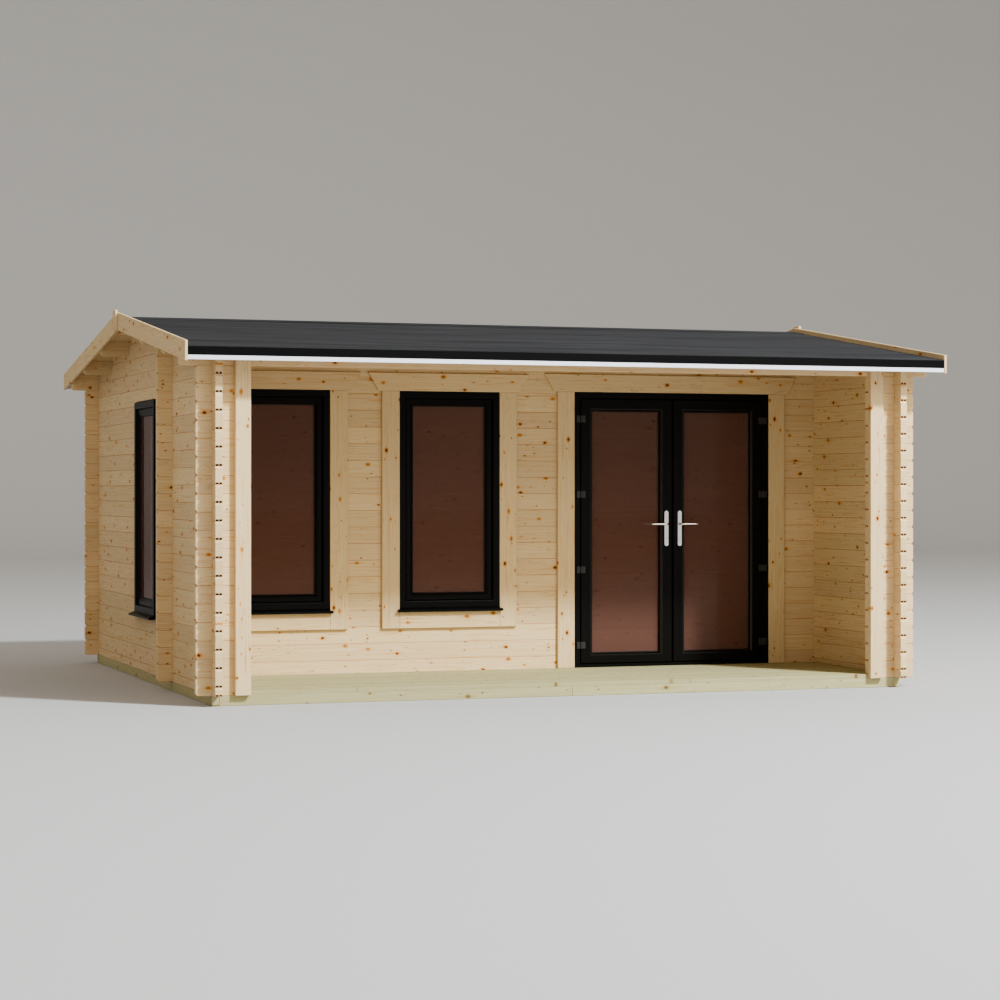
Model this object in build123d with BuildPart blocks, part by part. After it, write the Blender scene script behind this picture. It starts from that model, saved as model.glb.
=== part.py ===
from build123d import *
from math import cos, radians, tan
import os

# Walls of machined logs, laid in courses and crossed at the corners
log_cover = 110
log_thickness = 44
log_seam = 0.5
end_chamfer_length = 11
end_chamfer_height = 14
notch_fit = 0.4
least_top_log = 0.25
corner_overhang = 98
eaves_courses = 18
wall_centres_x = 4565
wall_centres_y = 3967
porch_depth = 1185
porch_opening = 4146

# Foundation and floors
bearer_height = 62
bearer_width = 44
joist_width = 44
joist_count = 9
board_fit = 0.4
floor_board = 26
floor_expansion = 5

# Roof of boards and felt on purlins
roof_pitch = 8
plate_height = 114
eaves_overhang = 240
gable_overhang = 219
roof_board = 18
felt_thickness = 4
purlin_width = 44
purlin_height = 97
purlin_offset_upper = 746
purlin_offset_lower = 1454
purlin_end_chamfer = 18
bargeboard_thickness = 18
bargeboard_depth = 121
bargeboard_upstand = 32
apex_block_width = 92
apex_block_height = 142
apex_block_rise = 13
apex_block_chamfer = 8
fascia_thickness = 18
fascia_height = 77
drip_thickness = 2
drip_height = 49

# Porch posts
post_width = 95
post_depth = 36

# Windows: one pattern, fixed in the front wall and in the left wall
window_width = 700
window_height = 1440
window_top = 1891
window_spacing = 1178
window_to_door = 1612
side_window_y = 2081
frame_depth = 70
frame_proud = 12
frame_face = 50
sash_face = 47
sash_recess = 16
sill_height = 26
sill_projection = 36
sill_horn = 26
opening_fit = 6

# Glass units
glass_thickness = 24
glass_recess = 30
glass_rebate = 12
glass_fit = 0.4

# French doors
door_centre = 1179
door_frame_width = 1447
door_frame_height = 1874
door_frame_bottom = 27
jamb_face = 44
threshold_face = 22
leaf_depth = 60
lip_overlap = 14
leaf_gap = 5
meeting_gap = 12
stile_face = 87
top_rail_face = 80
bottom_rail_face = 70

# Door furniture
hinge_count = 4
hinge_bottom_inset = 151
hinge_top_inset = 184
hinge_width = 62
hinge_height = 46
hinge_thickness = 9
hinge_barrel_radius = 8
hinge_gap = 0.3
lever_height = 1000
handle_plate_width = 29
handle_plate_height = 244
handle_plate_thickness = 9
handle_plate_above = 92
lever_length = 125
lever_depth = 14
lever_root_height = 17
lever_tip_height = 9
lever_neck_radius = 9
lever_neck_length = 42
lever_clearance = 0.3
spindle_side = 8
spindle_hole_radius = 6.5

# Trims
trim_width = 122
trim_thickness = 20
header_height = 120
header_overlap = 26
header_splay = 66
apron_height = 110

# Worked out from the sizes above
slope = tan(radians(roof_pitch))
rise_per_perpendicular = 1 / cos(radians(roof_pitch))
side_x = wall_centres_x / 2
end_y = wall_centres_y / 2
front_y = -end_y
glazed_y = front_y + porch_depth
log_base = bearer_height
eaves_z = log_base + eaves_courses * log_cover
outer_face_y = end_y + log_thickness / 2
outer_face_x = side_x + log_thickness / 2
inner_face_x = side_x - log_thickness / 2
log_end_x = outer_face_x + corner_overhang
log_end_y = outer_face_y + corner_overhang
eaves_y = outer_face_y + eaves_overhang
barge_inner_x = side_x + gable_overhang
barge_outer_x = barge_inner_x + bargeboard_thickness
board_rise = roof_board * rise_per_perpendicular
felt_rise = felt_thickness * rise_per_perpendicular
glazed_face_y = glazed_y - log_thickness / 2
frame_front_y = glazed_face_y - frame_proud
deck_top = log_base + floor_board


def roof_z(y, lift=0):
    """Height of the underside of the roof boards at y, plus a lift straight up."""
    return eaves_z + plate_height + (outer_face_y - abs(y)) * slope + lift


ridge_z = roof_z(0)
gable_courses = int((ridge_z - log_base) / log_cover + least_top_log)
glazed_courses = int((roof_z(glazed_y) - log_base) / log_cover + 1 - least_top_log)


def log_outline(start, end, bottom, top):
    """One log seen on its face, with the corners of both ends chamfered."""
    low = bottom + log_seam
    run = end_chamfer_length
    drop = end_chamfer_height
    return Polygon(
        (start, low + drop),
        (start + run, low),
        (end - run, low),
        (end, low + drop),
        (end, top - drop),
        (end - run, top),
        (start + run, top),
        (start, top - drop),
        align=None,
    )


def front_log(start, end, course):
    """A log of a wall that runs left to right, whose courses start whole."""
    bottom = log_base + course * log_cover
    return log_outline(start, end, bottom, bottom + log_cover)


def side_log(start, end, course):
    """A log of a side wall, whose courses start with a half log."""
    middle = log_base + course * log_cover
    top = ridge_z if course == gable_courses else middle + log_cover / 2
    return log_outline(start, end, middle - log_cover / 2, top)


def front_notches(courses):
    """Centres of what the side walls' logs fill where they cross a front wall."""
    sides = (-side_x, side_x)
    return [(x, log_base + course * log_cover) for x in sides for course in courses]


def side_notches(wall_y, courses):
    """Centres of what one front wall's logs fill where they cross a side wall."""
    return [(wall_y, log_base + (course + 0.5) * log_cover) for course in courses]


notch_width = log_thickness + 2 * notch_fit
notch_height = log_cover / 2 + notch_fit


# The four bearers under the walls, the one under the glazed wall and the joists
bearer_end_y = outer_face_y
cross_bearer_x = inner_face_x - board_fit

with BuildPart() as side_bearers:
    with BuildSketch():
        with Locations((-side_x, 0), (side_x, 0)):
            Rectangle(bearer_width, 2 * bearer_end_y)
    extrude(amount=bearer_height)
side_bearers.part.label = "side_bearers"

half_bearer = cross_bearer_x - board_fit

with BuildPart() as front_bearer:
    with BuildSketch():
        with Locations((-cross_bearer_x, front_y), (board_fit, front_y)):
            Rectangle(half_bearer, bearer_width, align=(Align.MIN, Align.CENTER))
    extrude(amount=bearer_height)
front_bearer.part.label = "front_bearer"

with BuildPart() as back_bearer:
    with BuildSketch():
        with Locations((-cross_bearer_x, end_y), (board_fit, end_y)):
            Rectangle(half_bearer, bearer_width, align=(Align.MIN, Align.CENTER))
    extrude(amount=bearer_height)
back_bearer.part.label = "back_bearer"

door_left = door_centre - door_frame_width / 2
door_right = door_centre + door_frame_width / 2
door_sill_z = log_base + door_frame_bottom

with BuildPart() as middle_bearer:
    with BuildSketch(Plane.XZ.offset(-glazed_y)):
        with Locations((0, 0)):
            Rectangle(2 * cross_bearer_x, bearer_height, align=(Align.CENTER, Align.MIN))
        with Locations((door_centre, 0)):
            Rectangle(door_frame_width, door_sill_z - board_fit, align=(Align.CENTER, Align.MIN))
    extrude(amount=bearer_width / 2, both=True)
middle_bearer.part.label = "middle_bearer"

joist_pitch = 2 * inner_face_x / (joist_count + 1)
joist_rows = ((front_y, glazed_y), (glazed_y, end_y))

with BuildPart() as floor_joists:
    with BuildSketch():
        for row_start, row_end in joist_rows:
            with Locations((0, (row_start + row_end) / 2)):
                with GridLocations(joist_pitch, 1, joist_count, 1):
                    Rectangle(joist_width, row_end - row_start - bearer_width - 2 * board_fit)
    extrude(amount=bearer_height)
floor_joists.part.label = "floor_joists"

# Floors: the deck of the porch runs out between the posts
deck_side_x = inner_face_x - board_fit
deck_mouth_x = porch_opening / 2 - board_fit
deck_back_y = glazed_face_y - board_fit
return_inner_y = front_y + log_thickness / 2 + board_fit

with BuildPart() as porch_deck:
    with BuildSketch(Plane.XY.offset(log_base)):
        Polygon(
            (-deck_mouth_x, -outer_face_y),
            (deck_mouth_x, -outer_face_y),
            (deck_mouth_x, return_inner_y),
            (deck_side_x, return_inner_y),
            (deck_side_x, deck_back_y),
            (-deck_side_x, deck_back_y),
            (-deck_side_x, return_inner_y),
            (-deck_mouth_x, return_inner_y),
            align=None,
        )
    extrude(amount=floor_board)
porch_deck.part.label = "porch_deck"

floor_front_y = frame_front_y + frame_depth + floor_expansion
floor_back_y = end_y - log_thickness / 2 - floor_expansion
floor_width = 2 * (inner_face_x - floor_expansion)

with BuildPart() as interior_floor:
    with BuildSketch(Plane.XY.offset(log_base)):
        with Locations((0, floor_front_y)):
            Rectangle(floor_width, floor_back_y - floor_front_y, align=(Align.CENTER, Align.MIN))
    extrude(amount=floor_board)
interior_floor.part.label = "interior_floor"

# Openings in the walls
window_centre_x = (door_centre - window_to_door - window_spacing, door_centre - window_to_door)
window_z = log_base + window_top - window_height / 2
side_window_z = window_z - log_cover / 2
side_window_centre_y = front_y + side_window_y
window_hole_width = window_width + 2 * opening_fit
window_hole_height = window_height + sill_height + opening_fit
window_hole_drop = (sill_height - opening_fit) / 2
door_hole_width = door_frame_width + 2 * opening_fit
door_hole_height = door_frame_height + door_frame_bottom + opening_fit

# Side walls, cut to the slopes of the roof and notched for the purlins
purlin_rows = (
    (-purlin_offset_lower, purlin_height),
    (-purlin_offset_upper, purlin_height),
    (0, purlin_height),
    (purlin_offset_upper, purlin_height),
    (purlin_offset_lower, purlin_height),
)


def gable_outline():
    """The shape that the slopes of the roof leave of a side wall."""
    return Polygon(
        (-log_end_y, log_base),
        (log_end_y, log_base),
        (log_end_y, roof_z(log_end_y)),
        (0, roof_z(0)),
        (-log_end_y, roof_z(log_end_y)),
        align=None,
        mode=Mode.INTERSECT,
    )


def purlin_outline(y, height, fit=0):
    """End view of a purlin, its top cut to the roof and its sides upright."""
    half = purlin_width / 2 + fit
    low = roof_z(y) - height - fit
    ridge = [(0, roof_z(0))] if y == 0 else []
    return [(y - half, low), (y + half, low), (y + half, roof_z(y + half))] + ridge + [
        (y - half, roof_z(y - half))
    ]


def side_wall_courses():
    """All the logs of one side wall, with the corner notches cut out of them."""
    for course in range(gable_courses + 1):
        side_log(-log_end_y, log_end_y, course)
    gable_outline()
    crossing = (
        side_notches(front_y, range(eaves_courses + 1))
        + side_notches(glazed_y, range(glazed_courses))
        + side_notches(end_y, range(eaves_courses + 1))
    )
    with Locations(*crossing):
        Rectangle(notch_width, notch_height, mode=Mode.SUBTRACT)
    for row_y, row_height in purlin_rows:
        Polygon(*purlin_outline(row_y, row_height, notch_fit), align=None, mode=Mode.SUBTRACT)


with BuildPart() as left_wall:
    with BuildSketch(Plane.YZ.offset(-side_x)):
        side_wall_courses()
        with Locations((side_window_centre_y, side_window_z - window_hole_drop)):
            Rectangle(window_hole_width, window_hole_height, mode=Mode.SUBTRACT)
    extrude(amount=log_thickness / 2, both=True)
left_wall.part.label = "left_wall"

with BuildPart() as right_wall:
    with BuildSketch(Plane.YZ.offset(side_x)):
        side_wall_courses()
    extrude(amount=log_thickness / 2, both=True)
right_wall.part.label = "right_wall"

# Back wall
with BuildPart() as back_wall:
    with BuildSketch(Plane.XZ.offset(-end_y)):
        for course in range(eaves_courses):
            front_log(-log_end_x, log_end_x, course)
        with Locations(*front_notches(range(eaves_courses + 1))):
            Rectangle(notch_width, notch_height, mode=Mode.SUBTRACT)
    extrude(amount=log_thickness / 2, both=True)
back_wall.part.label = "back_wall"

# Glazed wall behind the porch, in three parts round the doors
lintel_course = int((door_frame_bottom + door_frame_height) / log_cover)
door_hole_left = door_centre - door_hole_width / 2
door_hole_right = door_centre + door_hole_width / 2


def cut_front_openings():
    """Cut the corner notches, the windows and the doorway out of the glazed wall."""
    with Locations(*front_notches(range(glazed_courses + 1))):
        Rectangle(notch_width, notch_height, mode=Mode.SUBTRACT)
    with Locations(*[(x, window_z - window_hole_drop) for x in window_centre_x]):
        Rectangle(window_hole_width, window_hole_height, mode=Mode.SUBTRACT)
    with Locations((door_centre, log_base)):
        Rectangle(
            door_hole_width, door_hole_height, align=(Align.CENTER, Align.MIN), mode=Mode.SUBTRACT
        )


with BuildPart() as front_wall_left:
    with BuildSketch(Plane.XZ.offset(-glazed_y)):
        for course in range(lintel_course):
            front_log(-log_end_x, door_hole_left + end_chamfer_length, course)
        cut_front_openings()
    extrude(amount=log_thickness / 2, both=True)
front_wall_left.part.label = "front_wall_left"

with BuildPart() as front_wall_right:
    with BuildSketch(Plane.XZ.offset(-glazed_y)):
        for course in range(lintel_course):
            front_log(door_hole_right - end_chamfer_length, log_end_x, course)
        cut_front_openings()
    extrude(amount=log_thickness / 2, both=True)
front_wall_right.part.label = "front_wall_right"

roof_plane_front = Plane(origin=(0, 0, ridge_z), x_dir=(1, 0, 0), z_dir=(0, -slope, 1))
roof_plane_back = Plane(origin=(0, 0, ridge_z), x_dir=(1, 0, 0), z_dir=(0, slope, 1))

with BuildPart() as front_wall_top:
    with BuildSketch(Plane.XZ.offset(-glazed_y)):
        for course in range(lintel_course, glazed_courses):
            front_log(-log_end_x, log_end_x, course)
        cut_front_openings()
    extrude(amount=log_thickness / 2, both=True)
    split(bisect_by=roof_plane_front, keep=Keep.BOTTOM)
front_wall_top.part.label = "front_wall_top"

# Short return walls either side of the porch opening
with BuildPart() as left_return_wall:
    with BuildSketch(Plane.XZ.offset(-front_y)):
        for course in range(eaves_courses):
            front_log(-log_end_x, -porch_opening / 2, course)
        with Locations(*front_notches(range(eaves_courses + 1))):
            Rectangle(notch_width, notch_height, mode=Mode.SUBTRACT)
    extrude(amount=log_thickness / 2, both=True)
left_return_wall.part.label = "left_return_wall"

with BuildPart() as right_return_wall:
    with BuildSketch(Plane.XZ.offset(-front_y)):
        for course in range(eaves_courses):
            front_log(porch_opening / 2, log_end_x, course)
        with Locations(*front_notches(range(eaves_courses + 1))):
            Rectangle(notch_width, notch_height, mode=Mode.SUBTRACT)
    extrude(amount=log_thickness / 2, both=True)
right_return_wall.part.label = "right_return_wall"

# Eaves plates: the top logs at front and back, long enough to carry the gable overhang
plate_end_x = barge_inner_x - board_fit
plate_top = roof_z(end_y - log_thickness / 2)


def eaves_plate_outline():
    """Face of an eaves plate with its lower end corners rounded off."""
    low = eaves_z + log_seam
    cut = purlin_end_chamfer
    Polygon(
        (-plate_end_x, low + cut),
        (-plate_end_x + cut, low),
        (plate_end_x - cut, low),
        (plate_end_x, low + cut),
        (plate_end_x, plate_top),
        (-plate_end_x, plate_top),
        align=None,
    )
    with Locations(*front_notches((eaves_courses, eaves_courses + 1))):
        Rectangle(notch_width, notch_height, mode=Mode.SUBTRACT)


with BuildPart() as front_eaves_plate:
    with BuildSketch(Plane.XZ.offset(-front_y)):
        eaves_plate_outline()
    extrude(amount=log_thickness / 2, both=True)
    split(bisect_by=roof_plane_front, keep=Keep.BOTTOM)
front_eaves_plate.part.label = "front_eaves_plate"

with BuildPart() as back_eaves_plate:
    with BuildSketch(Plane.XZ.offset(-end_y)):
        eaves_plate_outline()
    extrude(amount=log_thickness / 2, both=True)
    split(bisect_by=roof_plane_back, keep=Keep.BOTTOM)
back_eaves_plate.part.label = "back_eaves_plate"

# Ridge beam and purlins, from gable overhang to gable overhang
with BuildPart() as purlins:
    with BuildSketch(Plane.YZ):
        for row_y, row_height in purlin_rows:
            Polygon(*purlin_outline(row_y, row_height), align=None)
    extrude(amount=plate_end_x, both=True)
    purlin_feet = purlins.faces().filter_by(Axis.Z).edges().filter_by(Axis.Y)
    chamfer(purlin_feet, length=purlin_end_chamfer)
purlins.part.label = "purlins"


def roof_strip(y_from, y_to, low, high):
    """A strip of the roof's section between two heights above the boards' underside."""
    return Polygon(
        (y_from, roof_z(y_from, low)),
        (y_to, roof_z(y_to, low)),
        (y_to, roof_z(y_to, high)),
        (y_from, roof_z(y_from, high)),
        align=None,
    )


fascia_front_y = eaves_y - drip_thickness
fascia_back_y = fascia_front_y - fascia_thickness
boards_end_y = fascia_back_y - board_fit
ridge_joint = board_fit / 2

with BuildPart() as front_roof_boards:
    with BuildSketch(Plane.YZ):
        roof_strip(-boards_end_y, -ridge_joint, 0, board_rise)
    extrude(amount=plate_end_x, both=True)
front_roof_boards.part.label = "front_roof_boards"

with BuildPart() as back_roof_boards:
    with BuildSketch(Plane.YZ):
        roof_strip(ridge_joint, boards_end_y, 0, board_rise)
    extrude(amount=plate_end_x, both=True)
back_roof_boards.part.label = "back_roof_boards"

felt_low = board_rise
felt_high = board_rise + felt_rise

with BuildPart() as roof_felt:
    with BuildSketch(Plane.YZ):
        Polygon(
            (-eaves_y, roof_z(eaves_y, felt_low)),
            (0, roof_z(0, felt_low)),
            (eaves_y, roof_z(eaves_y, felt_low)),
            (eaves_y, roof_z(eaves_y, felt_high)),
            (0, roof_z(0, felt_high)),
            (-eaves_y, roof_z(eaves_y, felt_high)),
            align=None,
        )
    extrude(amount=plate_end_x, both=True)
roof_felt.part.label = "roof_felt"

# Bargeboards on the ends of the roof, mitred at the ridge under an upright block
barge_high = felt_high + bargeboard_upstand
barge_low = barge_high - bargeboard_depth
barge_end_y = eaves_y + drip_thickness
mitre_gap = board_fit / 2


def bargeboard_pair():
    """Both boards of one gable, seen from the side."""
    roof_strip(-barge_end_y, -mitre_gap, barge_low, barge_high)
    roof_strip(mitre_gap, barge_end_y, barge_low, barge_high)


with BuildPart() as left_bargeboards:
    with BuildSketch(Plane.YZ.offset(-barge_outer_x)):
        bargeboard_pair()
    extrude(amount=bargeboard_thickness)
left_bargeboards.part.label = "left_bargeboards"

with BuildPart() as right_bargeboards:
    with BuildSketch(Plane.YZ.offset(barge_inner_x)):
        bargeboard_pair()
    extrude(amount=bargeboard_thickness)
right_bargeboards.part.label = "right_bargeboards"

apex_block_top = roof_z(0, barge_high) + apex_block_rise
apex_block_z = apex_block_top - apex_block_height / 2

with BuildPart() as apex_blocks:
    for block_x in (-barge_outer_x - bargeboard_thickness, barge_outer_x):
        with BuildSketch(Plane.YZ.offset(block_x)) as block_face:
            with Locations((0, apex_block_z)):
                Rectangle(apex_block_width, apex_block_height)
            chamfer(block_face.vertices(), length=apex_block_chamfer)
        extrude(amount=bargeboard_thickness)
apex_blocks.part.label = "apex_blocks"

# Fascia boards and the drip edges in front of them
fascia_top = roof_z(fascia_front_y, felt_low) - board_fit
drip_top = roof_z(eaves_y, felt_low) - board_fit
fascia_middle_y = fascia_front_y - fascia_thickness / 2
drip_middle_y = eaves_y - drip_thickness / 2

with BuildPart() as eaves_fascias:
    with BuildSketch(Plane.YZ):
        with Locations((-fascia_middle_y, fascia_top), (fascia_middle_y, fascia_top)):
            Rectangle(fascia_thickness, fascia_height, align=(Align.CENTER, Align.MAX))
    extrude(amount=plate_end_x, both=True)
eaves_fascias.part.label = "eaves_fascias"

with BuildPart() as drip_edges:
    with BuildSketch(Plane.YZ):
        with Locations((-drip_middle_y, drip_top), (drip_middle_y, drip_top)):
            Rectangle(drip_thickness, drip_height, align=(Align.CENTER, Align.MAX))
    extrude(amount=plate_end_x, both=True)
drip_edges.part.label = "drip_edges"

# Posts that cover the ends of the return walls
post_front_y = -outer_face_y - post_depth
post_top = roof_z(post_front_y) - board_fit
post_middle_y = -outer_face_y - post_depth / 2
post_middle_x = porch_opening / 2 + post_width / 2

with BuildPart() as left_post:
    with BuildSketch(Plane.XY.offset(log_base)):
        with Locations((-post_middle_x, post_middle_y)):
            Rectangle(post_width, post_depth)
    extrude(amount=post_top - log_base)
left_post.part.label = "left_post"

with BuildPart() as right_post:
    with BuildSketch(Plane.XY.offset(log_base)):
        with Locations((post_middle_x, post_middle_y)):
            Rectangle(post_width, post_depth)
    extrude(amount=post_top - log_base)
right_post.part.label = "right_post"

# Window pattern: fixed frame, recessed sash and a sill, made at the origin facing -Y
window_glass_width = window_width - 2 * (frame_face + sash_face)
window_glass_height = window_height - 2 * (frame_face + sash_face)

with BuildPart() as window_pattern:
    with BuildSketch(Plane.XZ):
        Rectangle(window_width, window_height)
        Rectangle(window_glass_width, window_glass_height, mode=Mode.SUBTRACT)
    extrude(amount=-frame_depth)
    with BuildSketch(Plane.XZ):
        Rectangle(window_width - 2 * frame_face, window_height - 2 * frame_face)
    extrude(amount=-sash_recess, mode=Mode.SUBTRACT)
    with BuildSketch(Plane.XZ.offset(-glass_recess + glass_fit)):
        Rectangle(
            window_glass_width + 2 * glass_rebate + 2 * glass_fit,
            window_glass_height + 2 * glass_rebate + 2 * glass_fit,
        )
    extrude(amount=-(glass_thickness + 2 * glass_fit), mode=Mode.SUBTRACT)
    with BuildSketch(Plane.YZ):
        Polygon(
            (-sill_projection, -window_height / 2 - sill_height),
            (frame_depth, -window_height / 2 - sill_height),
            (frame_depth, -window_height / 2),
            (0, -window_height / 2),
            (-sill_projection, -window_height / 2 - sill_height / 2),
            align=None,
        )
    extrude(amount=window_width / 2, both=True)
    with BuildSketch(Plane.YZ):
        Polygon(
            (-sill_projection, -window_height / 2 - sill_height),
            (-trim_thickness, -window_height / 2 - sill_height),
            (-trim_thickness, -window_height / 2 - sill_height / 2),
            (-sill_projection, -window_height / 2 - sill_height / 2),
            align=None,
        )
    extrude(amount=window_width / 2 + sill_horn, both=True)

with BuildPart() as pane_pattern:
    with BuildSketch(Plane.XZ.offset(-glass_recess)):
        Rectangle(window_glass_width + 2 * glass_rebate, window_glass_height + 2 * glass_rebate)
    extrude(amount=-glass_thickness)

window_places = [Pos(x, frame_front_y, window_z) for x in window_centre_x]
side_window_place = Pos(-outer_face_x - frame_proud, side_window_centre_y, side_window_z) * Rot(
    0, 0, -90
)

with BuildPart() as front_left_window:
    add(window_places[0] * window_pattern.part)
front_left_window.part.label = "front_left_window"

with BuildPart() as front_middle_window:
    add(window_places[1] * window_pattern.part)
front_middle_window.part.label = "front_middle_window"

with BuildPart() as side_window:
    add(side_window_place * window_pattern.part)
side_window.part.label = "side_window"

with BuildPart() as window_glass:
    for place in window_places + [side_window_place]:
        add(place * pane_pattern.part)
window_glass.part.label = "window_glass"

# Trims of planed boards round the front windows and the doors
trim_reach = trim_width / 2 + board_fit
window_sill_z = window_z - window_height / 2 - sill_height


def header_outline(centre, width, bottom):
    """A header board, longer along its top edge, seated on the side trims."""
    half = width / 2 + trim_width + header_overlap
    Polygon(
        (centre - half, bottom),
        (centre + half, bottom),
        (centre + half + header_splay, bottom + header_height),
        (centre - half - header_splay, bottom + header_height),
        align=None,
    )


with BuildPart() as window_trims:
    with BuildSketch(Plane.XZ.offset(-glazed_face_y)):
        for centre in window_centre_x:
            top = window_z + window_height / 2
            bottom = window_sill_z - apron_height
            for side in (-1, 1):
                with Locations((centre + side * (window_width / 2 + trim_reach), bottom)):
                    Rectangle(trim_width, top - bottom, align=(Align.CENTER, Align.MIN))
            with Locations((centre, bottom)):
                Rectangle(window_width, apron_height - board_fit, align=(Align.CENTER, Align.MIN))
            header_outline(centre, window_width, top + board_fit)
    extrude(amount=trim_thickness)
window_trims.part.label = "window_trims"

door_top_z = door_sill_z + door_frame_height

with BuildPart() as door_trims:
    with BuildSketch(Plane.XZ.offset(-glazed_face_y)):
        for side in (-1, 1):
            with Locations((door_centre + side * (door_frame_width / 2 + trim_reach), deck_top)):
                Rectangle(trim_width, door_top_z - deck_top, align=(Align.CENTER, Align.MIN))
        header_outline(door_centre, door_frame_width, door_top_z + board_fit)
    extrude(amount=trim_thickness)
door_trims.part.label = "door_trims"

# Door frame: jambs, head and threshold, with a lip behind the leaves
leaf_opening_width = door_frame_width - 2 * jamb_face
leaf_opening_height = door_frame_height - jamb_face - threshold_face
leaf_opening_z = door_sill_z + threshold_face
lip_depth = frame_depth - leaf_depth - leaf_gap

with BuildPart() as door_frame:
    with BuildSketch(Plane.XZ.offset(-frame_front_y)):
        with Locations((door_centre, door_sill_z)):
            Rectangle(door_frame_width, door_frame_height, align=(Align.CENTER, Align.MIN))
        with Locations((door_centre, leaf_opening_z)):
            Rectangle(
                leaf_opening_width,
                leaf_opening_height,
                align=(Align.CENTER, Align.MIN),
                mode=Mode.SUBTRACT,
            )
    extrude(amount=-frame_depth)
    with BuildSketch(Plane.XZ.offset(-frame_front_y - frame_depth)):
        with Locations((door_centre, leaf_opening_z)):
            Rectangle(leaf_opening_width, leaf_opening_height, align=(Align.CENTER, Align.MIN))
        with Locations((door_centre, leaf_opening_z + lip_overlap)):
            Rectangle(
                leaf_opening_width - 2 * lip_overlap,
                leaf_opening_height - 2 * lip_overlap,
                align=(Align.CENTER, Align.MIN),
                mode=Mode.SUBTRACT,
            )
    extrude(amount=lip_depth)
door_frame.part.label = "door_frame"

# Door leaves, made as a left leaf about its own frame and mirrored for the right
leaf_width = (leaf_opening_width - meeting_gap) / 2 - leaf_gap
leaf_height = leaf_opening_height - 2 * leaf_gap
leaf_centre_offset = meeting_gap / 2 + leaf_width / 2
leaf_bottom_z = leaf_opening_z + leaf_gap
leaf_glass_width = leaf_width - 2 * stile_face
leaf_glass_height = leaf_height - top_rail_face - bottom_rail_face
leaf_glass_bottom = leaf_bottom_z + bottom_rail_face
lever_z = log_base + lever_height
handle_x = stile_face / 2


def leaf_outline():
    """Face of one leaf with its glass opening, about x = 0."""
    with Locations((0, leaf_bottom_z)):
        Rectangle(leaf_width, leaf_height, align=(Align.CENTER, Align.MIN))
    with Locations((0, leaf_glass_bottom)):
        Rectangle(
            leaf_glass_width, leaf_glass_height, align=(Align.CENTER, Align.MIN), mode=Mode.SUBTRACT
        )


glass_groove = glass_rebate + glass_fit

with BuildPart() as leaf_pattern:
    with BuildSketch(Plane.XZ.offset(-frame_front_y)):
        leaf_outline()
        with Locations((leaf_width / 2 - handle_x, lever_z)):
            Circle(spindle_hole_radius, mode=Mode.SUBTRACT)
    extrude(amount=-leaf_depth)
    with BuildSketch(Plane.XZ.offset(-frame_front_y - glass_recess + glass_fit)):
        with Locations((0, leaf_glass_bottom - glass_groove)):
            Rectangle(
                leaf_glass_width + 2 * glass_groove,
                leaf_glass_height + 2 * glass_groove,
                align=(Align.CENTER, Align.MIN),
            )
    extrude(amount=-(glass_thickness + 2 * glass_fit), mode=Mode.SUBTRACT)

with BuildPart() as leaf_glass_pattern:
    with BuildSketch(Plane.XZ.offset(-frame_front_y - glass_recess)):
        with Locations((0, leaf_glass_bottom - glass_rebate)):
            Rectangle(
                leaf_glass_width + 2 * glass_rebate,
                leaf_glass_height + 2 * glass_rebate,
                align=(Align.CENTER, Align.MIN),
            )
    extrude(amount=-glass_thickness)

left_leaf_place = Pos(door_centre - leaf_centre_offset, 0, 0)
right_leaf_place = Pos(door_centre + leaf_centre_offset, 0, 0)

with BuildPart() as left_door_leaf:
    add(left_leaf_place * leaf_pattern.part)
left_door_leaf.part.label = "left_door_leaf"

with BuildPart() as right_door_leaf:
    add(right_leaf_place * leaf_pattern.part.mirror(Plane.YZ))
right_door_leaf.part.label = "right_door_leaf"

with BuildPart() as left_door_glass:
    add(left_leaf_place * leaf_glass_pattern.part)
left_door_glass.part.label = "left_door_glass"

with BuildPart() as right_door_glass:
    add(right_leaf_place * leaf_glass_pattern.part)
right_door_glass.part.label = "right_door_glass"

# Flag hinges: a leaf half to the right of its pin and the upper knuckle, made at the origin
hinge_pin_y = frame_front_y - hinge_barrel_radius - hinge_gap
hinge_pin_x = meeting_gap / 2 + leaf_width + leaf_gap / 2
hinge_plate_back = frame_front_y - hinge_pin_y
hinge_plate_start = hinge_barrel_radius + 2 * hinge_gap
knuckle_height = (hinge_height - hinge_gap) / 2

with BuildPart() as hinge_half:
    with BuildSketch(Plane.XY.offset(-hinge_height / 2)):
        with Locations((hinge_plate_start, hinge_plate_back)):
            Rectangle(
                hinge_width / 2 - hinge_plate_start, hinge_thickness, align=(Align.MIN, Align.MAX)
            )
    extrude(amount=hinge_height)
    with BuildSketch(Plane.XY.offset(hinge_gap / 2)):
        Circle(hinge_barrel_radius)
        Rectangle(hinge_plate_start, hinge_barrel_radius, align=(Align.MIN, Align.MIN))
    extrude(amount=knuckle_height)

hinge_run = door_frame_height - hinge_bottom_inset - hinge_top_inset
hinge_pitch = hinge_run / (hinge_count - 1)
hinge_z = [door_sill_z + hinge_bottom_inset + row * hinge_pitch for row in range(hinge_count)]
frame_half = hinge_half.part.mirror(Plane.YZ).mirror(Plane.XY)

with BuildPart() as frame_hinges:
    for z in hinge_z:
        add(Pos(door_centre - hinge_pin_x, hinge_pin_y, z) * frame_half)
        add(Pos(door_centre + hinge_pin_x, hinge_pin_y, z) * frame_half.mirror(Plane.YZ))
frame_hinges.part.label = "frame_hinges"

with BuildPart() as left_leaf_hinges:
    for z in hinge_z:
        add(Pos(door_centre - hinge_pin_x, hinge_pin_y, z) * hinge_half.part)
left_leaf_hinges.part.label = "left_leaf_hinges"

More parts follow.
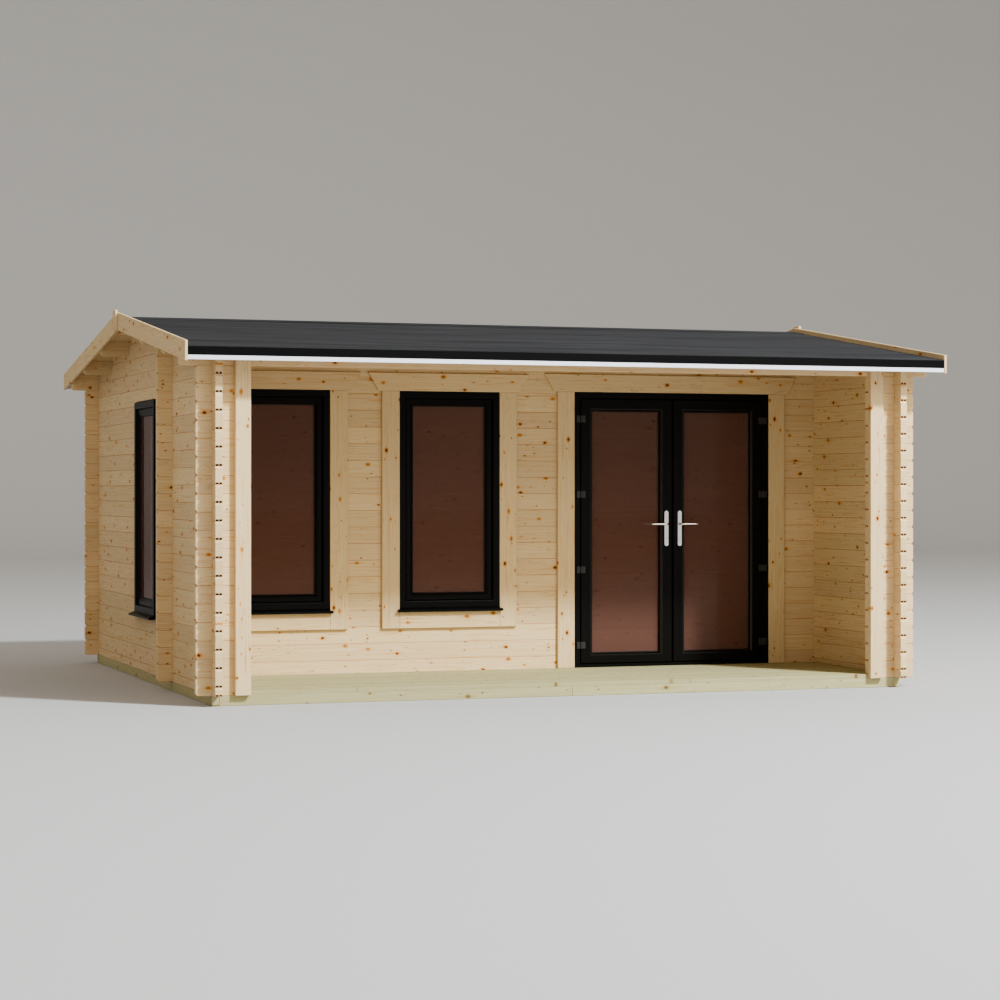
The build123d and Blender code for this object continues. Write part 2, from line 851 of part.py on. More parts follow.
with BuildPart() as right_leaf_hinges:
    for z in hinge_z:
        add(Pos(door_centre + hinge_pin_x, hinge_pin_y, z) * hinge_half.part.mirror(Plane.YZ))
right_leaf_hinges.part.label = "right_leaf_hinges"

# Handle plates on both faces of a leaf, and a lever set turning in them
plate_drop = handle_plate_above - handle_plate_height / 2
outer_plate_y = frame_front_y
inner_plate_y = frame_front_y + leaf_depth
neck_bore = lever_neck_radius + lever_clearance

with BuildPart() as plate_pattern:
    with BuildSketch(Plane.XZ):
        with Locations((0, plate_drop)):
            SlotOverall(handle_plate_height, handle_plate_width, rotation=90)
        Circle(neck_bore, mode=Mode.SUBTRACT)
    extrude(amount=handle_plate_thickness)

with BuildPart() as lever_pattern:
    with BuildSketch(Plane.XZ.offset(lever_clearance)):
        Circle(lever_neck_radius)
    extrude(amount=lever_neck_length)
    with BuildSketch(Plane.XZ.offset(lever_clearance + lever_neck_length)):
        Polygon(
            (-lever_length, -lever_tip_height / 2),
            (lever_neck_radius, -lever_root_height / 2),
            (lever_neck_radius, lever_root_height / 2),
            (-lever_length, lever_tip_height / 2),
            align=None,
        )
    extrude(amount=lever_depth / 2, both=True)

handle_y = frame_front_y + leaf_depth / 2
left_handle_x = door_centre - meeting_gap / 2 - handle_x
right_handle_x = door_centre + meeting_gap / 2 + handle_x


def both_faces(piece):
    """A piece of door furniture on the outer face and its reflection on the inner face."""
    outer = Pos(0, -leaf_depth / 2, 0) * piece
    return [outer, outer.mirror(Plane.XZ)]


with BuildPart() as left_handle_plates:
    for piece in both_faces(plate_pattern.part):
        add(Pos(left_handle_x, handle_y, lever_z) * piece)
left_handle_plates.part.label = "left_handle_plates"

with BuildPart() as right_handle_plates:
    for piece in both_faces(plate_pattern.part):
        add(Pos(right_handle_x, handle_y, lever_z) * piece)
right_handle_plates.part.label = "right_handle_plates"

with BuildPart() as lever_set:
    for piece in both_faces(lever_pattern.part):
        add(piece)
    Box(spindle_side, leaf_depth + 4 * lever_clearance, spindle_side)

with BuildPart() as left_lever:
    add(Pos(left_handle_x, handle_y, lever_z) * lever_set.part)
left_lever.part.label = "left_lever"

with BuildPart() as right_lever:
    add(Pos(right_handle_x, handle_y, lever_z) * lever_set.part.mirror(Plane.YZ))
right_lever.part.label = "right_lever"

pieces = (
    side_bearers,
    front_bearer,
    back_bearer,
    middle_bearer,
    floor_joists,
    porch_deck,
    interior_floor,
    left_wall,
    right_wall,
    back_wall,
    front_wall_left,
    front_wall_right,
    front_wall_top,
    left_return_wall,
    right_return_wall,
    front_eaves_plate,
    back_eaves_plate,
    purlins,
    front_roof_boards,
    back_roof_boards,
    roof_felt,
    left_bargeboards,
    right_bargeboards,
    apex_blocks,
    eaves_fascias,
    drip_edges,
    left_post,
    right_post,
    front_left_window,
    front_middle_window,
    side_window,
    window_glass,
    window_trims,
    door_trims,
    door_frame,
    left_door_leaf,
    right_door_leaf,
    left_door_glass,
    right_door_glass,
    frame_hinges,
    left_leaf_hinges,
    right_leaf_hinges,
    left_handle_plates,
    right_handle_plates,
    left_lever,
    right_lever,
)

os.makedirs("parts", exist_ok=True)
for piece in pieces:
    export_step(piece.part, f"parts/{piece.part.label}.step")
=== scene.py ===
"""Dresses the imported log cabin: machined logs, boards, felt, plastic windows and doors, glass, handles."""

import logging
import math
from dataclasses import dataclass, field
from enum import Enum
from random import Random
from typing import Any, Sequence

import bmesh
import bpy
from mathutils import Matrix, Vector

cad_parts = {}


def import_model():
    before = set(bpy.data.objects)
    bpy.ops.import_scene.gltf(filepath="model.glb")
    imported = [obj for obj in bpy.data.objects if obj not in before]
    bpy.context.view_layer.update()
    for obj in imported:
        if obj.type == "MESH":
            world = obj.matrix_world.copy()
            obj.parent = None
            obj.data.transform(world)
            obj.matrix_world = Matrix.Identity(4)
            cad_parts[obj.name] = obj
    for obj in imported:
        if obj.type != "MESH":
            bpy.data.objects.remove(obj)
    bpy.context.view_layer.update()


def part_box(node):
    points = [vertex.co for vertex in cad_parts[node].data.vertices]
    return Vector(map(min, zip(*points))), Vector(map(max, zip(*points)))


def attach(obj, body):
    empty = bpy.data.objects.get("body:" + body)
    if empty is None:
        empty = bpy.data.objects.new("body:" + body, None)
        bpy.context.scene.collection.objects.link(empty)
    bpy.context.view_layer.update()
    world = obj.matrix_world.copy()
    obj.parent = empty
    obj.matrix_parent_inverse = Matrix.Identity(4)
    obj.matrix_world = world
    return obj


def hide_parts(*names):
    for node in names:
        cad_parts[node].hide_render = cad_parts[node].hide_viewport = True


LOG = logging.getLogger("log_cabin")
MM = 0.001
CABIN_BODY = "cabin"

# Short names for what most functions pass on
Point = tuple[float, float]
Place = tuple[float, float, float]
Rect = tuple[float, float, float, float]
Piece = bpy.types.Object
Tree = bpy.types.NodeTree
Socket = bpy.types.NodeSocket
Material = bpy.types.Material


class Plane(Enum):
    """The plane that an outline is drawn in; it is extruded along the axis that is left."""

    FACE = "drawn in X and Z, pushed along Y"
    END = "drawn in Y and Z, pushed along X"
    PLAN = "drawn in X and Y, pushed along Z"

    def point(self, across: float, up: float, depth: float) -> Vector:
        """Place a drawn point in the cabin's frame.

        Args:
            across: First coordinate of the drawing.
            up: Second coordinate of the drawing.
            depth: Place along the axis that is left.

        Returns:
            The point in metres.
        """
        if self is Plane.FACE:
            return Vector((across, depth, up))
        if self is Plane.END:
            return Vector((depth, across, up))
        return Vector((across, up, depth))


class Run(Enum):
    """The way that the logs of a wall run."""

    SIDEWAYS = Plane.FACE
    FRONT_TO_BACK = Plane.END


# Shape helpers


def rectangle(low_x: float, low_y: float, high_x: float, high_y: float) -> list[Point]:
    """Corners of a rectangle, anticlockwise."""
    return [(low_x, low_y), (high_x, low_y), (high_x, high_y), (low_x, high_y)]


def grown(rect: Rect, amount: float) -> Rect:
    """A rectangle moved outwards on all four sides."""
    return rect[0] - amount, rect[1] - amount, rect[2] + amount, rect[3] + amount


class Workpiece:
    """Closed solids collected into one mesh."""

    def __init__(self) -> None:
        """Start with no solids."""
        self.mesh = bmesh.new()

    def _close(self, faces: list[bmesh.types.BMFace], arris: float, segments: int) -> None:
        """Turn the faces of a new solid outwards and ease its edges.

        Args:
            faces: The faces of the solid.
            arris: Width of the eased edges, or 0 for none.
            segments: Facets across an eased edge.
        """
        bmesh.ops.recalc_face_normals(self.mesh, faces=faces)
        if arris > 0:
            # Each edge once, in the same order on each run
            edges = list(dict.fromkeys(edge for face in faces for edge in face.edges))
            bmesh.ops.bevel(
                self.mesh, geom=edges, offset=arris, segments=segments, profile=0.5,
                affect="EDGES", clamp_overlap=True,
            )

    def prism(
        self, outline: Sequence[Point], plane: Plane, near: float, far: float,
        arris: float = 0.0, segments: int = 1,
    ) -> None:
        """Push an outline through a depth.

        Args:
            outline: The corners in order.
            plane: The plane it is drawn in.
            near: Depth of one end.
            far: Depth of the other end.
            arris: Width of the eased edges.
            segments: Facets across an eased edge.
        """
        ends = [
            [self.mesh.verts.new(plane.point(x, y, depth)) for x, y in outline]
            for depth in (near, far)
        ]
        faces = [self.mesh.faces.new(end) for end in ends]
        count = len(outline)
        for i in range(count):
            j = (i + 1) % count
            faces.append(self.mesh.faces.new((ends[0][i], ends[0][j], ends[1][j], ends[1][i])))
        self._close(faces, arris, segments)

    def box(
        self, low: Sequence[float], high: Sequence[float], arris: float = 0.0, segments: int = 1
    ) -> None:
        """A board or block between two corners."""
        outline = rectangle(low[0], low[1], high[0], high[1])
        self.prism(outline, Plane.PLAN, low[2], high[2], arris, segments)

    def ring(self, outer: Rect, inner: Rect, section: Sequence[Point], plane: Plane) -> None:
        """Mitre a section round a rectangular opening.

        Args:
            outer: The rectangle where the section's share is 0.
            inner: The rectangle where the section's share is 1.
            section: Closed outline of (share of the way inwards, depth).
            plane: The plane that the rectangles are drawn in.
        """
        corners = [(0, 1), (2, 1), (2, 3), (0, 3)]
        rows = []
        for x_key, y_key in corners:
            row = []
            for share, depth in section:
                x = outer[x_key] + (inner[x_key] - outer[x_key]) * share
                y = outer[y_key] + (inner[y_key] - outer[y_key]) * share
                row.append(self.mesh.verts.new(plane.point(x, y, depth)))
            rows.append(row)
        faces = []
        for i in range(4):
            here = rows[i]
            there = rows[(i + 1) % 4]
            for a in range(len(section)):
                b = (a + 1) % len(section)
                faces.append(self.mesh.faces.new((here[a], here[b], there[b], there[a])))
        self._close(faces, 0.0, 1)

    def sweep(self, path: Sequence[Vector], sizes: Sequence[Point], sides: int = 20) -> None:
        """Sweep an oval along a level path.

        Args:
            path: The points it passes through.
            sizes: Half width and half height of the oval at each point.
            sides: Facets round it.
        """
        rings = []
        for i, centre in enumerate(path):
            ahead = path[min(i + 1, len(path) - 1)] - path[max(i - 1, 0)]
            sideways = ahead.cross(Vector((0, 0, 1))).normalized()
            half_width, half_height = sizes[i]
            ring = []
            for k in range(sides):
                turn = 2 * math.pi * k / sides
                upwards = Vector((0, 0, half_height * math.sin(turn)))
                offset = sideways * half_width * math.cos(turn) + upwards
                ring.append(self.mesh.verts.new(centre + offset))
            rings.append(ring)
        faces = [self.mesh.faces.new(rings[0]), self.mesh.faces.new(rings[-1])]
        for here, there in zip(rings, rings[1:]):
            for k in range(sides):
                m = (k + 1) % sides
                faces.append(self.mesh.faces.new((here[k], here[m], there[m], there[k])))
        self._close(faces, 0.0, 1)

    def finished(self, name: str) -> Piece:
        """The solids as one object in the scene.

        Args:
            name: The object's name.

        Returns:
            The object.
        """
        data = bpy.data.meshes.new(name)
        self.mesh.to_mesh(data)
        self.mesh.free()
        made = bpy.data.objects.new(name, data)
        bpy.context.scene.collection.objects.link(made)
        return made


def cut(blank: Piece, cutters: Sequence[Workpiece]) -> Piece:
    """Cut each group of solids out of a blank in turn.

    Args:
        blank: The object that is cut; it is used up.
        cutters: Groups of solids that don't touch one another within a group.

    Returns:
        A new object with the blank's name and what is left of it.
    """
    name = blank.name
    tools = []
    for number, group in enumerate(cutters):
        tool = group.finished(f"{name}_cutter_{number}")
        modifier = blank.modifiers.new("cut", "BOOLEAN")
        modifier.operation = "DIFFERENCE"
        modifier.solver = "EXACT"
        modifier.object = tool
        tools.append(tool)
    bpy.context.view_layer.update()
    evaluated = blank.evaluated_get(bpy.context.evaluated_depsgraph_get())
    data = bpy.data.meshes.new_from_object(evaluated)
    for used in (*tools, blank):
        bpy.data.objects.remove(used)
    made = bpy.data.objects.new(name, data)
    data.name = name
    bpy.context.scene.collection.objects.link(made)
    return made


def islands(data: bpy.types.Mesh) -> list[list[int]]:
    """Vertex numbers of each separate solid of a mesh.

    Args:
        data: The mesh.

    Returns:
        A list of vertex numbers for each solid.
    """
    neighbours: list[list[int]] = [[] for _ in data.vertices]
    for edge in data.edges:
        a, b = edge.vertices
        neighbours[a].append(b)
        neighbours[b].append(a)
    seen = [False] * len(neighbours)
    found = []
    for start in range(len(neighbours)):
        if seen[start]:
            continue
        seen[start] = True
        group = [start]
        for vertex in group:
            for other in neighbours[vertex]:
                if not seen[other]:
                    seen[other] = True
                    group.append(other)
        found.append(group)
    return found


# Where a board is cut from its tree, in metres along it, across it and out from its pith
CUT_ALONG = (0.0, 40.0)
CUT_ACROSS = (-30 * MM, 30 * MM)
CUT_FROM_PITH = (35 * MM, 100 * MM)

# A log's faces by the upright part of their normals: plain faces, groove sides, eased edges, beds
PLAIN_FACE = 0.02
GROOVE_SIDE = 0.5
EASED_EDGE = 0.9
END_GRAIN = 0.1
# Share of the joints' painted shade on their eased edges; inside the grooves it is full
EASED_EDGE_PAINTED_SHADE = 0.4


def lay_grain(
    piece: Piece, seed: int, axis: int | None = None, slope: float = 0.0, jointed: bool = False
) -> None:
    """Give each board its own place in the tree, with the grain along its length.

    The attribute "grain" holds metres along the grain, across it and away from the pith, "board" holds a
    number from 0 to 1 that differs from board to board, and "seam" is the share of painted shade: 1 inside a
    joint and less on its eased edges.

    Args:
        piece: An object made of separate boards.
        seed: Start of the random draws.
        axis: 0, 1 or 2 where the grain always runs along X, Y or Z; otherwise each board's longest side.
        slope: Tangent of the roof's pitch, for boards that follow the roof.
        jointed: True for upright walls of logs, whose eased edges and grooves get painted shade.
    """
    random = Random(seed)
    data = piece.data
    grain = [0.0] * (3 * len(data.vertices))
    board = [0.0] * len(data.vertices)
    for group in islands(data):
        points = [data.vertices[i].co for i in group]
        low = [min(p[k] for p in points) for k in range(3)]
        high = [max(p[k] for p in points) for k in range(3)]
        size = [high[k] - low[k] for k in range(3)]
        along_axis = size.index(max(size)) if axis is None else axis
        others = sorted((k for k in range(3) if k != along_axis), key=lambda k: -size[k])
        centre = Vector([(low[k] + high[k]) / 2 for k in range(3)])
        directions = [Vector([float(k == j) for j in range(3)]) for k in (along_axis, *others)]
        if slope and along_axis == 1:
            fall = -slope if centre.y > 0 else slope
            directions[0] = Vector((0, 1, fall)).normalized()
        shift = [random.uniform(*limits) for limits in (CUT_ALONG, CUT_ACROSS, CUT_FROM_PITH)]
        tone = random.random()
        for i, point in zip(group, points):
            offset = point - centre
            grain[3 * i:3 * i + 3] = [offset.dot(d) + s for d, s in zip(directions, shift)]
            board[i] = tone
    seam = [0.0] * len(data.polygons)
    if jointed:
        # Painted shade in the joints: a warm brown standing in for the dim, bounced light inside the grooves
        for polygon in data.polygons:
            steepness = abs(polygon.normal.z)
            if abs(polygon.normal[axis]) < END_GRAIN and PLAIN_FACE < steepness < EASED_EDGE:
                seam[polygon.index] = EASED_EDGE_PAINTED_SHADE if steepness > GROOVE_SIDE else 1.0
    data.attributes.new("grain", "FLOAT_VECTOR", "POINT").data.foreach_set("vector", grain)
    data.attributes.new("seam", "FLOAT", "FACE").data.foreach_set("value", seam)
    data.attributes.new("board", "FLOAT", "POINT").data.foreach_set("value", board)


# Finishes


def linear(colour: str) -> tuple[float, float, float, float]:
    """An sRGB hex colour as linear red, green and blue with full alpha.

    Args:
        colour: A number sign and six hex digits.

    Returns:
        Red, green, blue and alpha from 0 to 1.
    """
    parts = [int(colour[i:i + 2], 16) / 255 for i in (1, 3, 5)]
    red, green, blue = (c / 12.92 if c <= 0.04045 else ((c + 0.055) / 1.055) ** 2.4 for c in parts)
    return red, green, blue, 1.0


def add_node(
    tree: Tree, kind: str, inputs: dict[Any, Any] | None = None, **settings: Any
) -> bpy.types.Node:
    """Add a node with its settings and its inputs.

    Args:
        tree: The material's node tree.
        kind: The node's type.
        inputs: Input name or number to a number, a colour, or the socket that it is linked to.
        settings: The node's own properties.

    Returns:
        The new node.
    """
    made = tree.nodes.new(kind)
    for name, value in settings.items():
        setattr(made, name, value)
    for socket, value in (inputs or {}).items():
        if isinstance(value, Socket):
            tree.links.new(value, made.inputs[socket])
        else:
            made.inputs[socket].default_value = value
    return made


def new_material(name: str) -> tuple[Material, Tree, bpy.types.Node]:
    """An empty material, its node tree and its output node.

    Args:
        name: The material's name.

    Returns:
        The material, its node tree and its output node.
    """
    material = bpy.data.materials.new(name)
    material.use_nodes = True
    tree = material.node_tree
    tree.nodes.clear()
    output = tree.nodes.new("ShaderNodeOutputMaterial")
    return material, tree, output


@dataclass(frozen=True)
class KnotLayer:
    """Knots of one range of sizes: at most one in each cell of a net over the face of a board.

    Attributes:
        spacing: Side of a cell.
        smallest: Least radius of a knot.
        largest: Greatest radius of a knot.
        share: Share of the cells that hold a knot.
        stretch: Stretch of the net along the grain and across it.
        halo_strength: Greatest share of the halo.
        masks: For each mask its name, its stretch along and across the grain, and the shares of the
            radius where it is full and where it ends.
    """

    spacing: float
    smallest: float
    largest: float
    share: float
    stretch: Place = (0.8, 1.0, 0.0)
    halo_strength: float = 0.9
    masks: tuple[tuple[str, Place, float, float], ...] = (
        ("core", (1.0, 1.0, 0.0), 0.45, 0.85),
        ("halo", (0.85, 1.0, 0.0), 0.7, 1.6),
        ("tail", (0.22, 1.15, 0.0), 0.2, 1.7),
    )

    def build(self, tree: Tree, grain: Socket, wobble: Socket) -> dict[str, Socket]:
        """Build the masks of the knots.

        Args:
            tree: The material's node tree.
            grain: Metres along the grain, across it and away from the pith.
            wobble: Noise that makes the outlines uneven.

        Returns:
            Sockets from 0 to 1 for the dark "core", the resinous "halo" and the stained "tail".
        """
        place = add_node(tree, "ShaderNodeVectorMath", {0: grain, 1: self.stretch}, operation="MULTIPLY")
        cells = add_node(
            tree, "ShaderNodeTexVoronoi",
            {"Vector": place.outputs[0], "Scale": 1 / self.spacing, "Randomness": 1.0},
            voronoi_dimensions="2D", feature="F1",
        )
        chance = add_node(tree, "ShaderNodeSeparateColor", {"Color": cells.outputs["Color"]})
        empty = 1 - self.share
        present = add_node(
            tree, "ShaderNodeMath", {0: chance.outputs["Red"], 1: empty}, operation="GREATER_THAN"
        )
        radius = add_node(
            tree, "ShaderNodeMapRange",
            {"Value": chance.outputs["Red"], "From Min": empty, "To Min": self.smallest,
             "To Max": self.largest},
        )
        offset = add_node(
            tree, "ShaderNodeVectorMath", {0: place.outputs[0], 1: cells.outputs["Position"]},
            operation="SUBTRACT",
        )
        uneven = add_node(tree, "ShaderNodeMath", {0: wobble, 1: 0.9, 2: 0.55}, operation="MULTIPLY_ADD")
        # Some knots are dead and dark, others sound and barely darker than the wood
        darkness = add_node(
            tree, "ShaderNodeMapRange",
            {"Value": chance.outputs["Green"], "From Min": 0.1, "From Max": 0.8, "To Min": 0.25},
        )
        strengths = {
            "core": darkness.outputs[0], "halo": self.halo_strength, "tail": chance.outputs["Blue"]
        }
        found = {}
        for name, stretch, full, end in self.masks:
            drawn = add_node(
                tree, "ShaderNodeVectorMath", {0: offset.outputs[0], 1: stretch}, operation="MULTIPLY"
            )
            distance = add_node(tree, "ShaderNodeVectorMath", {0: drawn.outputs[0]}, operation="LENGTH")
            rough, near, far = (
                add_node(tree, "ShaderNodeMath", {0: first, 1: second}, operation="MULTIPLY").outputs[0]
                for first, second in (
                    (distance.outputs["Value"], uneven.outputs[0]),
                    (radius.outputs[0], full),
                    (radius.outputs[0], end),
                )
            )
            spot = add_node(
                tree, "ShaderNodeMapRange",
                {"Value": rough, "From Min": near, "From Max": far, "To Min": strengths[name],
                 "To Max": 0.0},
                interpolation_type="SMOOTHSTEP",
            )
            found[name] = add_node(
                tree, "ShaderNodeMath", {0: spot.outputs[0], 1: present.outputs[0]}, operation="MULTIPLY"
            ).outputs[0]
        return found


@dataclass(frozen=True)
class PlanedSoftwood:
    """Softwood from a four-sided planer: pale and matt, with amber knots and faint growth rings.

    The rings, the fibre and the drying checks are drawn wider than the real ones, which are too fine to
    show from where the cabin is seen.

    Attributes:
        name: What it is made of and how its surface was made.
        slot: Its slot in the record.
        early_wood: Colour between the growth rings.
        late_wood: Colour of the rings.
        stain: Colour of the flames and of the tails beside knots.
        knot_halo: Resinous wood round a knot.
        knot_core: The knot itself, and the drying checks.
        seam: Colour of the painted shade inside the joints between logs and on their eased edges.
        roughness: 0 for a mirror, 1 for chalk.
        check_share: Greatest strength of the drying checks.
        ring_strength: Greatest strength of the rings.
        tail_strength: Greatest strength of a knot's tail.
        tone_range: How much darker than the mean a board may be.
        knots: The layers of knots.
    """

    name: str
    slot: str
    early_wood: str
    late_wood: str
    stain: str
    knot_halo: str
    knot_core: str
    seam: str
    roughness: float = 0.66
    check_share: float = 0.6
    ring_spacing: float = 7 * MM
    ring_wander: float = 24 * MM
    ring_strength: float = 0.28
    fibre_size: Point = (500 * MM, 6 * MM)
    flame_size: Point = (260 * MM, 14 * MM)
    check_size: Point = (60 * MM, 3 * MM)
    check_group_size: Point = (260 * MM, 110 * MM)
    wander_size: Point = (600 * MM, 140 * MM)
    wobble_size: float = 9 * MM
    tail_strength: float = 0.45
    tone_range: float = 0.12
    hue_range: Point = (0.494, 0.504)
    knots: tuple[KnotLayer, ...] = (
        KnotLayer(150 * MM, 5 * MM, 12 * MM, 0.55), KnotLayer(80 * MM, 2 * MM, 5 * MM, 0.3)
    )

    def material(self) -> Material:
        """Build the material from the boards' grain attributes.

        Returns:
            The material.
        """
        material, tree, output = new_material(self.name)
        grain = add_node(tree, "ShaderNodeAttribute", attribute_name="grain").outputs["Vector"]
        # Share of the painted shade in the joints between logs
        seam = add_node(tree, "ShaderNodeAttribute", attribute_name="seam").outputs["Fac"]
        wobble = add_node(
            tree, "ShaderNodeTexNoise", {"Vector": grain, "Scale": 1 / self.wobble_size, "Detail": 2.0}
        ).outputs["Fac"]
        fibre = self._streaks(tree, grain, self.fibre_size, 4.0)
        flames = self._streaks(tree, grain, self.flame_size, 2.0)
        checks = self._streaks(tree, grain, self.check_size, 1.0)
        groups = self._streaks(tree, grain, self.check_group_size, 1.0)
        fibre_share, ring_share, flame_share, check_share, group_share = (
            add_node(
                tree, "ShaderNodeMapRange",
                {"Value": noise, "From Min": low, "From Max": high, "To Max": most},
            ).outputs[0]
            for noise, low, high, most in (
                (fibre, 0.35, 0.7, 0.4),
                (self._rings(tree, grain), 0.25, 1.0, self.ring_strength),
                (flames, 0.57, 0.72, 0.4),
                (checks, 0.66, 0.72, self.check_share),
                (groups, 0.52, 0.6, 1.0),
            )
        )
        shade = add_node(
            tree, "ShaderNodeMath", {0: ring_share, 1: fibre_share}, operation="ADD", use_clamp=True
        )
        bare = add_node(
            tree, "ShaderNodeMix",
            {0: shade.outputs[0], 6: linear(self.early_wood), 7: linear(self.late_wood)}, data_type="RGBA",
        )
        colour = self._toned(tree, bare.outputs[2])
        marks = [(flame_share, self.stain)]
        for layer in self.knots:
            masks = layer.build(tree, grain, wobble)
            tail = add_node(
                tree, "ShaderNodeMath", {0: masks["tail"], 1: self.tail_strength}, operation="MULTIPLY"
            )
            marks += [(tail.outputs[0], self.stain), (masks["halo"], self.knot_halo),
                      (masks["core"], self.knot_core)]
        check = add_node(tree, "ShaderNodeMath", {0: check_share, 1: group_share}, operation="MULTIPLY")
        # The wood's own marks and drying checks, then the painted shade of the joints
        for share, tint in (*marks, (check.outputs[0], self.knot_core), (seam, self.seam)):
            colour = add_node(
                tree, "ShaderNodeMix", {0: share, 6: colour, 7: linear(tint)}, data_type="RGBA"
            ).outputs[2]
        bump = add_node(
            tree, "ShaderNodeBump", {"Strength": 0.12, "Distance": 0.6 * MM, "Height": fibre}
        )
        surface = add_node(
            tree, "ShaderNodeBsdfPrincipled",
            {"Base Color": colour, "Roughness": self.roughness, "IOR": 1.45, "Specular IOR Level": 0.2,
             "Normal": bump.outputs[0]},
        )
        tree.links.new(surface.outputs[0], output.inputs["Surface"])
        return material

    def _streaks(self, tree: Tree, grain: Socket, size: Point, detail: float) -> Socket:
        """Noise drawn out along the grain to a length and a width.

        Args:
            tree: The material's node tree.
            grain: Metres along the grain, across it and away from the pith.
            size: Length and width of a streak.
            detail: How many finer layers it has.

        Returns:
            A socket from 0 to 1.
        """
        length, width = size
        place = add_node(
            tree, "ShaderNodeVectorMath", {0: grain, 1: (1 / length, 1 / width, 1 / width)},
            operation="MULTIPLY",
        )
        return add_node(
            tree, "ShaderNodeTexNoise", {"Vector": place.outputs[0], "Scale": 1.0, "Detail": detail}
        ).outputs["Fac"]

    def _rings(self, tree: Tree, grain: Socket) -> Socket:
        """Growth rings round a wandering pith, from 0 to 1 across each.

        Args:
            tree: The material's node tree.
            grain: Metres along the grain, across it and away from the pith.

        Returns:
            A socket from 0 to 1.
        """
        split = add_node(tree, "ShaderNodeSeparateXYZ", {0: grain})
        pith = add_node(
            tree, "ShaderNodeCombineXYZ", {"X": 0.0, "Y": split.outputs["Y"], "Z": split.outputs["Z"]}
        )
        radius = add_node(tree, "ShaderNodeVectorMath", {0: pith.outputs[0]}, operation="LENGTH")
        pushed = add_node(
            tree, "ShaderNodeMath",
            {0: self._streaks(tree, grain, self.wander_size, 3.0), 1: self.ring_wander,
             2: radius.outputs["Value"]},
            operation="MULTIPLY_ADD",
        )
        turns = add_node(
            tree, "ShaderNodeMath", {0: pushed.outputs[0], 1: 1 / self.ring_spacing}, operation="MULTIPLY"
        )
        return add_node(tree, "ShaderNodeMath", {0: turns.outputs[0]}, operation="FRACT").outputs[0]

    def _toned(self, tree: Tree, colour: Socket) -> Socket:
        """Make some boards darker or redder than others.

        Args:
            tree: The material's node tree.
            colour: The colour of an even board.

        Returns:
            The colour of each board.
        """
        board = add_node(tree, "ShaderNodeAttribute", attribute_name="board").outputs["Fac"]
        value = add_node(
            tree, "ShaderNodeMapRange",
            {"Value": board, "To Min": 1 - self.tone_range, "To Max": 1 + self.tone_range / 3},
        )
        draw = add_node(tree, "ShaderNodeTexWhiteNoise", {"W": board}, noise_dimensions="1D")
        reddest, yellowest = self.hue_range
        hue = add_node(
            tree, "ShaderNodeMapRange", {"Value": draw.outputs[0], "To Min": reddest, "To Max": yellowest}
        )
        return add_node(
            tree, "ShaderNodeHueSaturation",
            {"Hue": hue.outputs[0], "Value": value.outputs[0], "Color": colour},
        ).outputs[0]


@dataclass(frozen=True)
class MineralFelt:
    """Mineral roofing felt: granules rolled into bitumen, quite matt, with faint streaks along each strip.

    The granules are drawn 4 mm wide, several times the real ones, so that they show at all.
    """

    name: str = "mineral_roofing_felt"
    slot: str = "roofing_felt"
    bitumen: str = "#242425"
    granules: str = "#404041"
    granule_size: float = 4 * MM
    streak_length: float = 900 * MM
    streak_width: float = 45 * MM
    roughness: float = 0.95

    def material(self) -> Material:
        """Build the material in the cabin's own metres.

        Returns:
            The material.
        """
        material, tree, output = new_material(self.name)
        place = add_node(tree, "ShaderNodeTexCoord").outputs["Object"]
        speckle = add_node(
            tree, "ShaderNodeTexNoise", {"Vector": place, "Scale": 1 / self.granule_size, "Detail": 1.0}
        )
        drawn_out = add_node(
            tree, "ShaderNodeVectorMath",
            {0: place, 1: (1 / self.streak_length, 1 / self.streak_width, 1 / self.streak_width)},
            operation="MULTIPLY",
        )
        streak = add_node(
            tree, "ShaderNodeTexNoise", {"Vector": drawn_out.outputs[0], "Scale": 1.0, "Detail": 4.0}
        )
        both = add_node(
            tree, "ShaderNodeMath",
            {0: speckle.outputs["Fac"], 1: 0.5, 2: streak.outputs["Fac"]}, operation="MULTIPLY_ADD",
        )
        share = add_node(
            tree, "ShaderNodeMapRange", {"Value": both.outputs[0], "From Min": 0.5, "From Max": 1.0}
        )
        colour = add_node(
            tree, "ShaderNodeMix",
            {0: share.outputs[0], 6: linear(self.bitumen), 7: linear(self.granules)}, data_type="RGBA",
        )
        bump = add_node(
            tree, "ShaderNodeBump", {"Strength": 0.5, "Distance": 1 * MM, "Height": speckle.outputs["Fac"]}
        )
        surface = add_node(
            tree, "ShaderNodeBsdfPrincipled",
            {"Base Color": colour.outputs[2], "Roughness": self.roughness, "Normal": bump.outputs[0],
             "Specular IOR Level": 0.1},
        )
        tree.links.new(surface.outputs[0], output.inputs["Surface"])
        return material


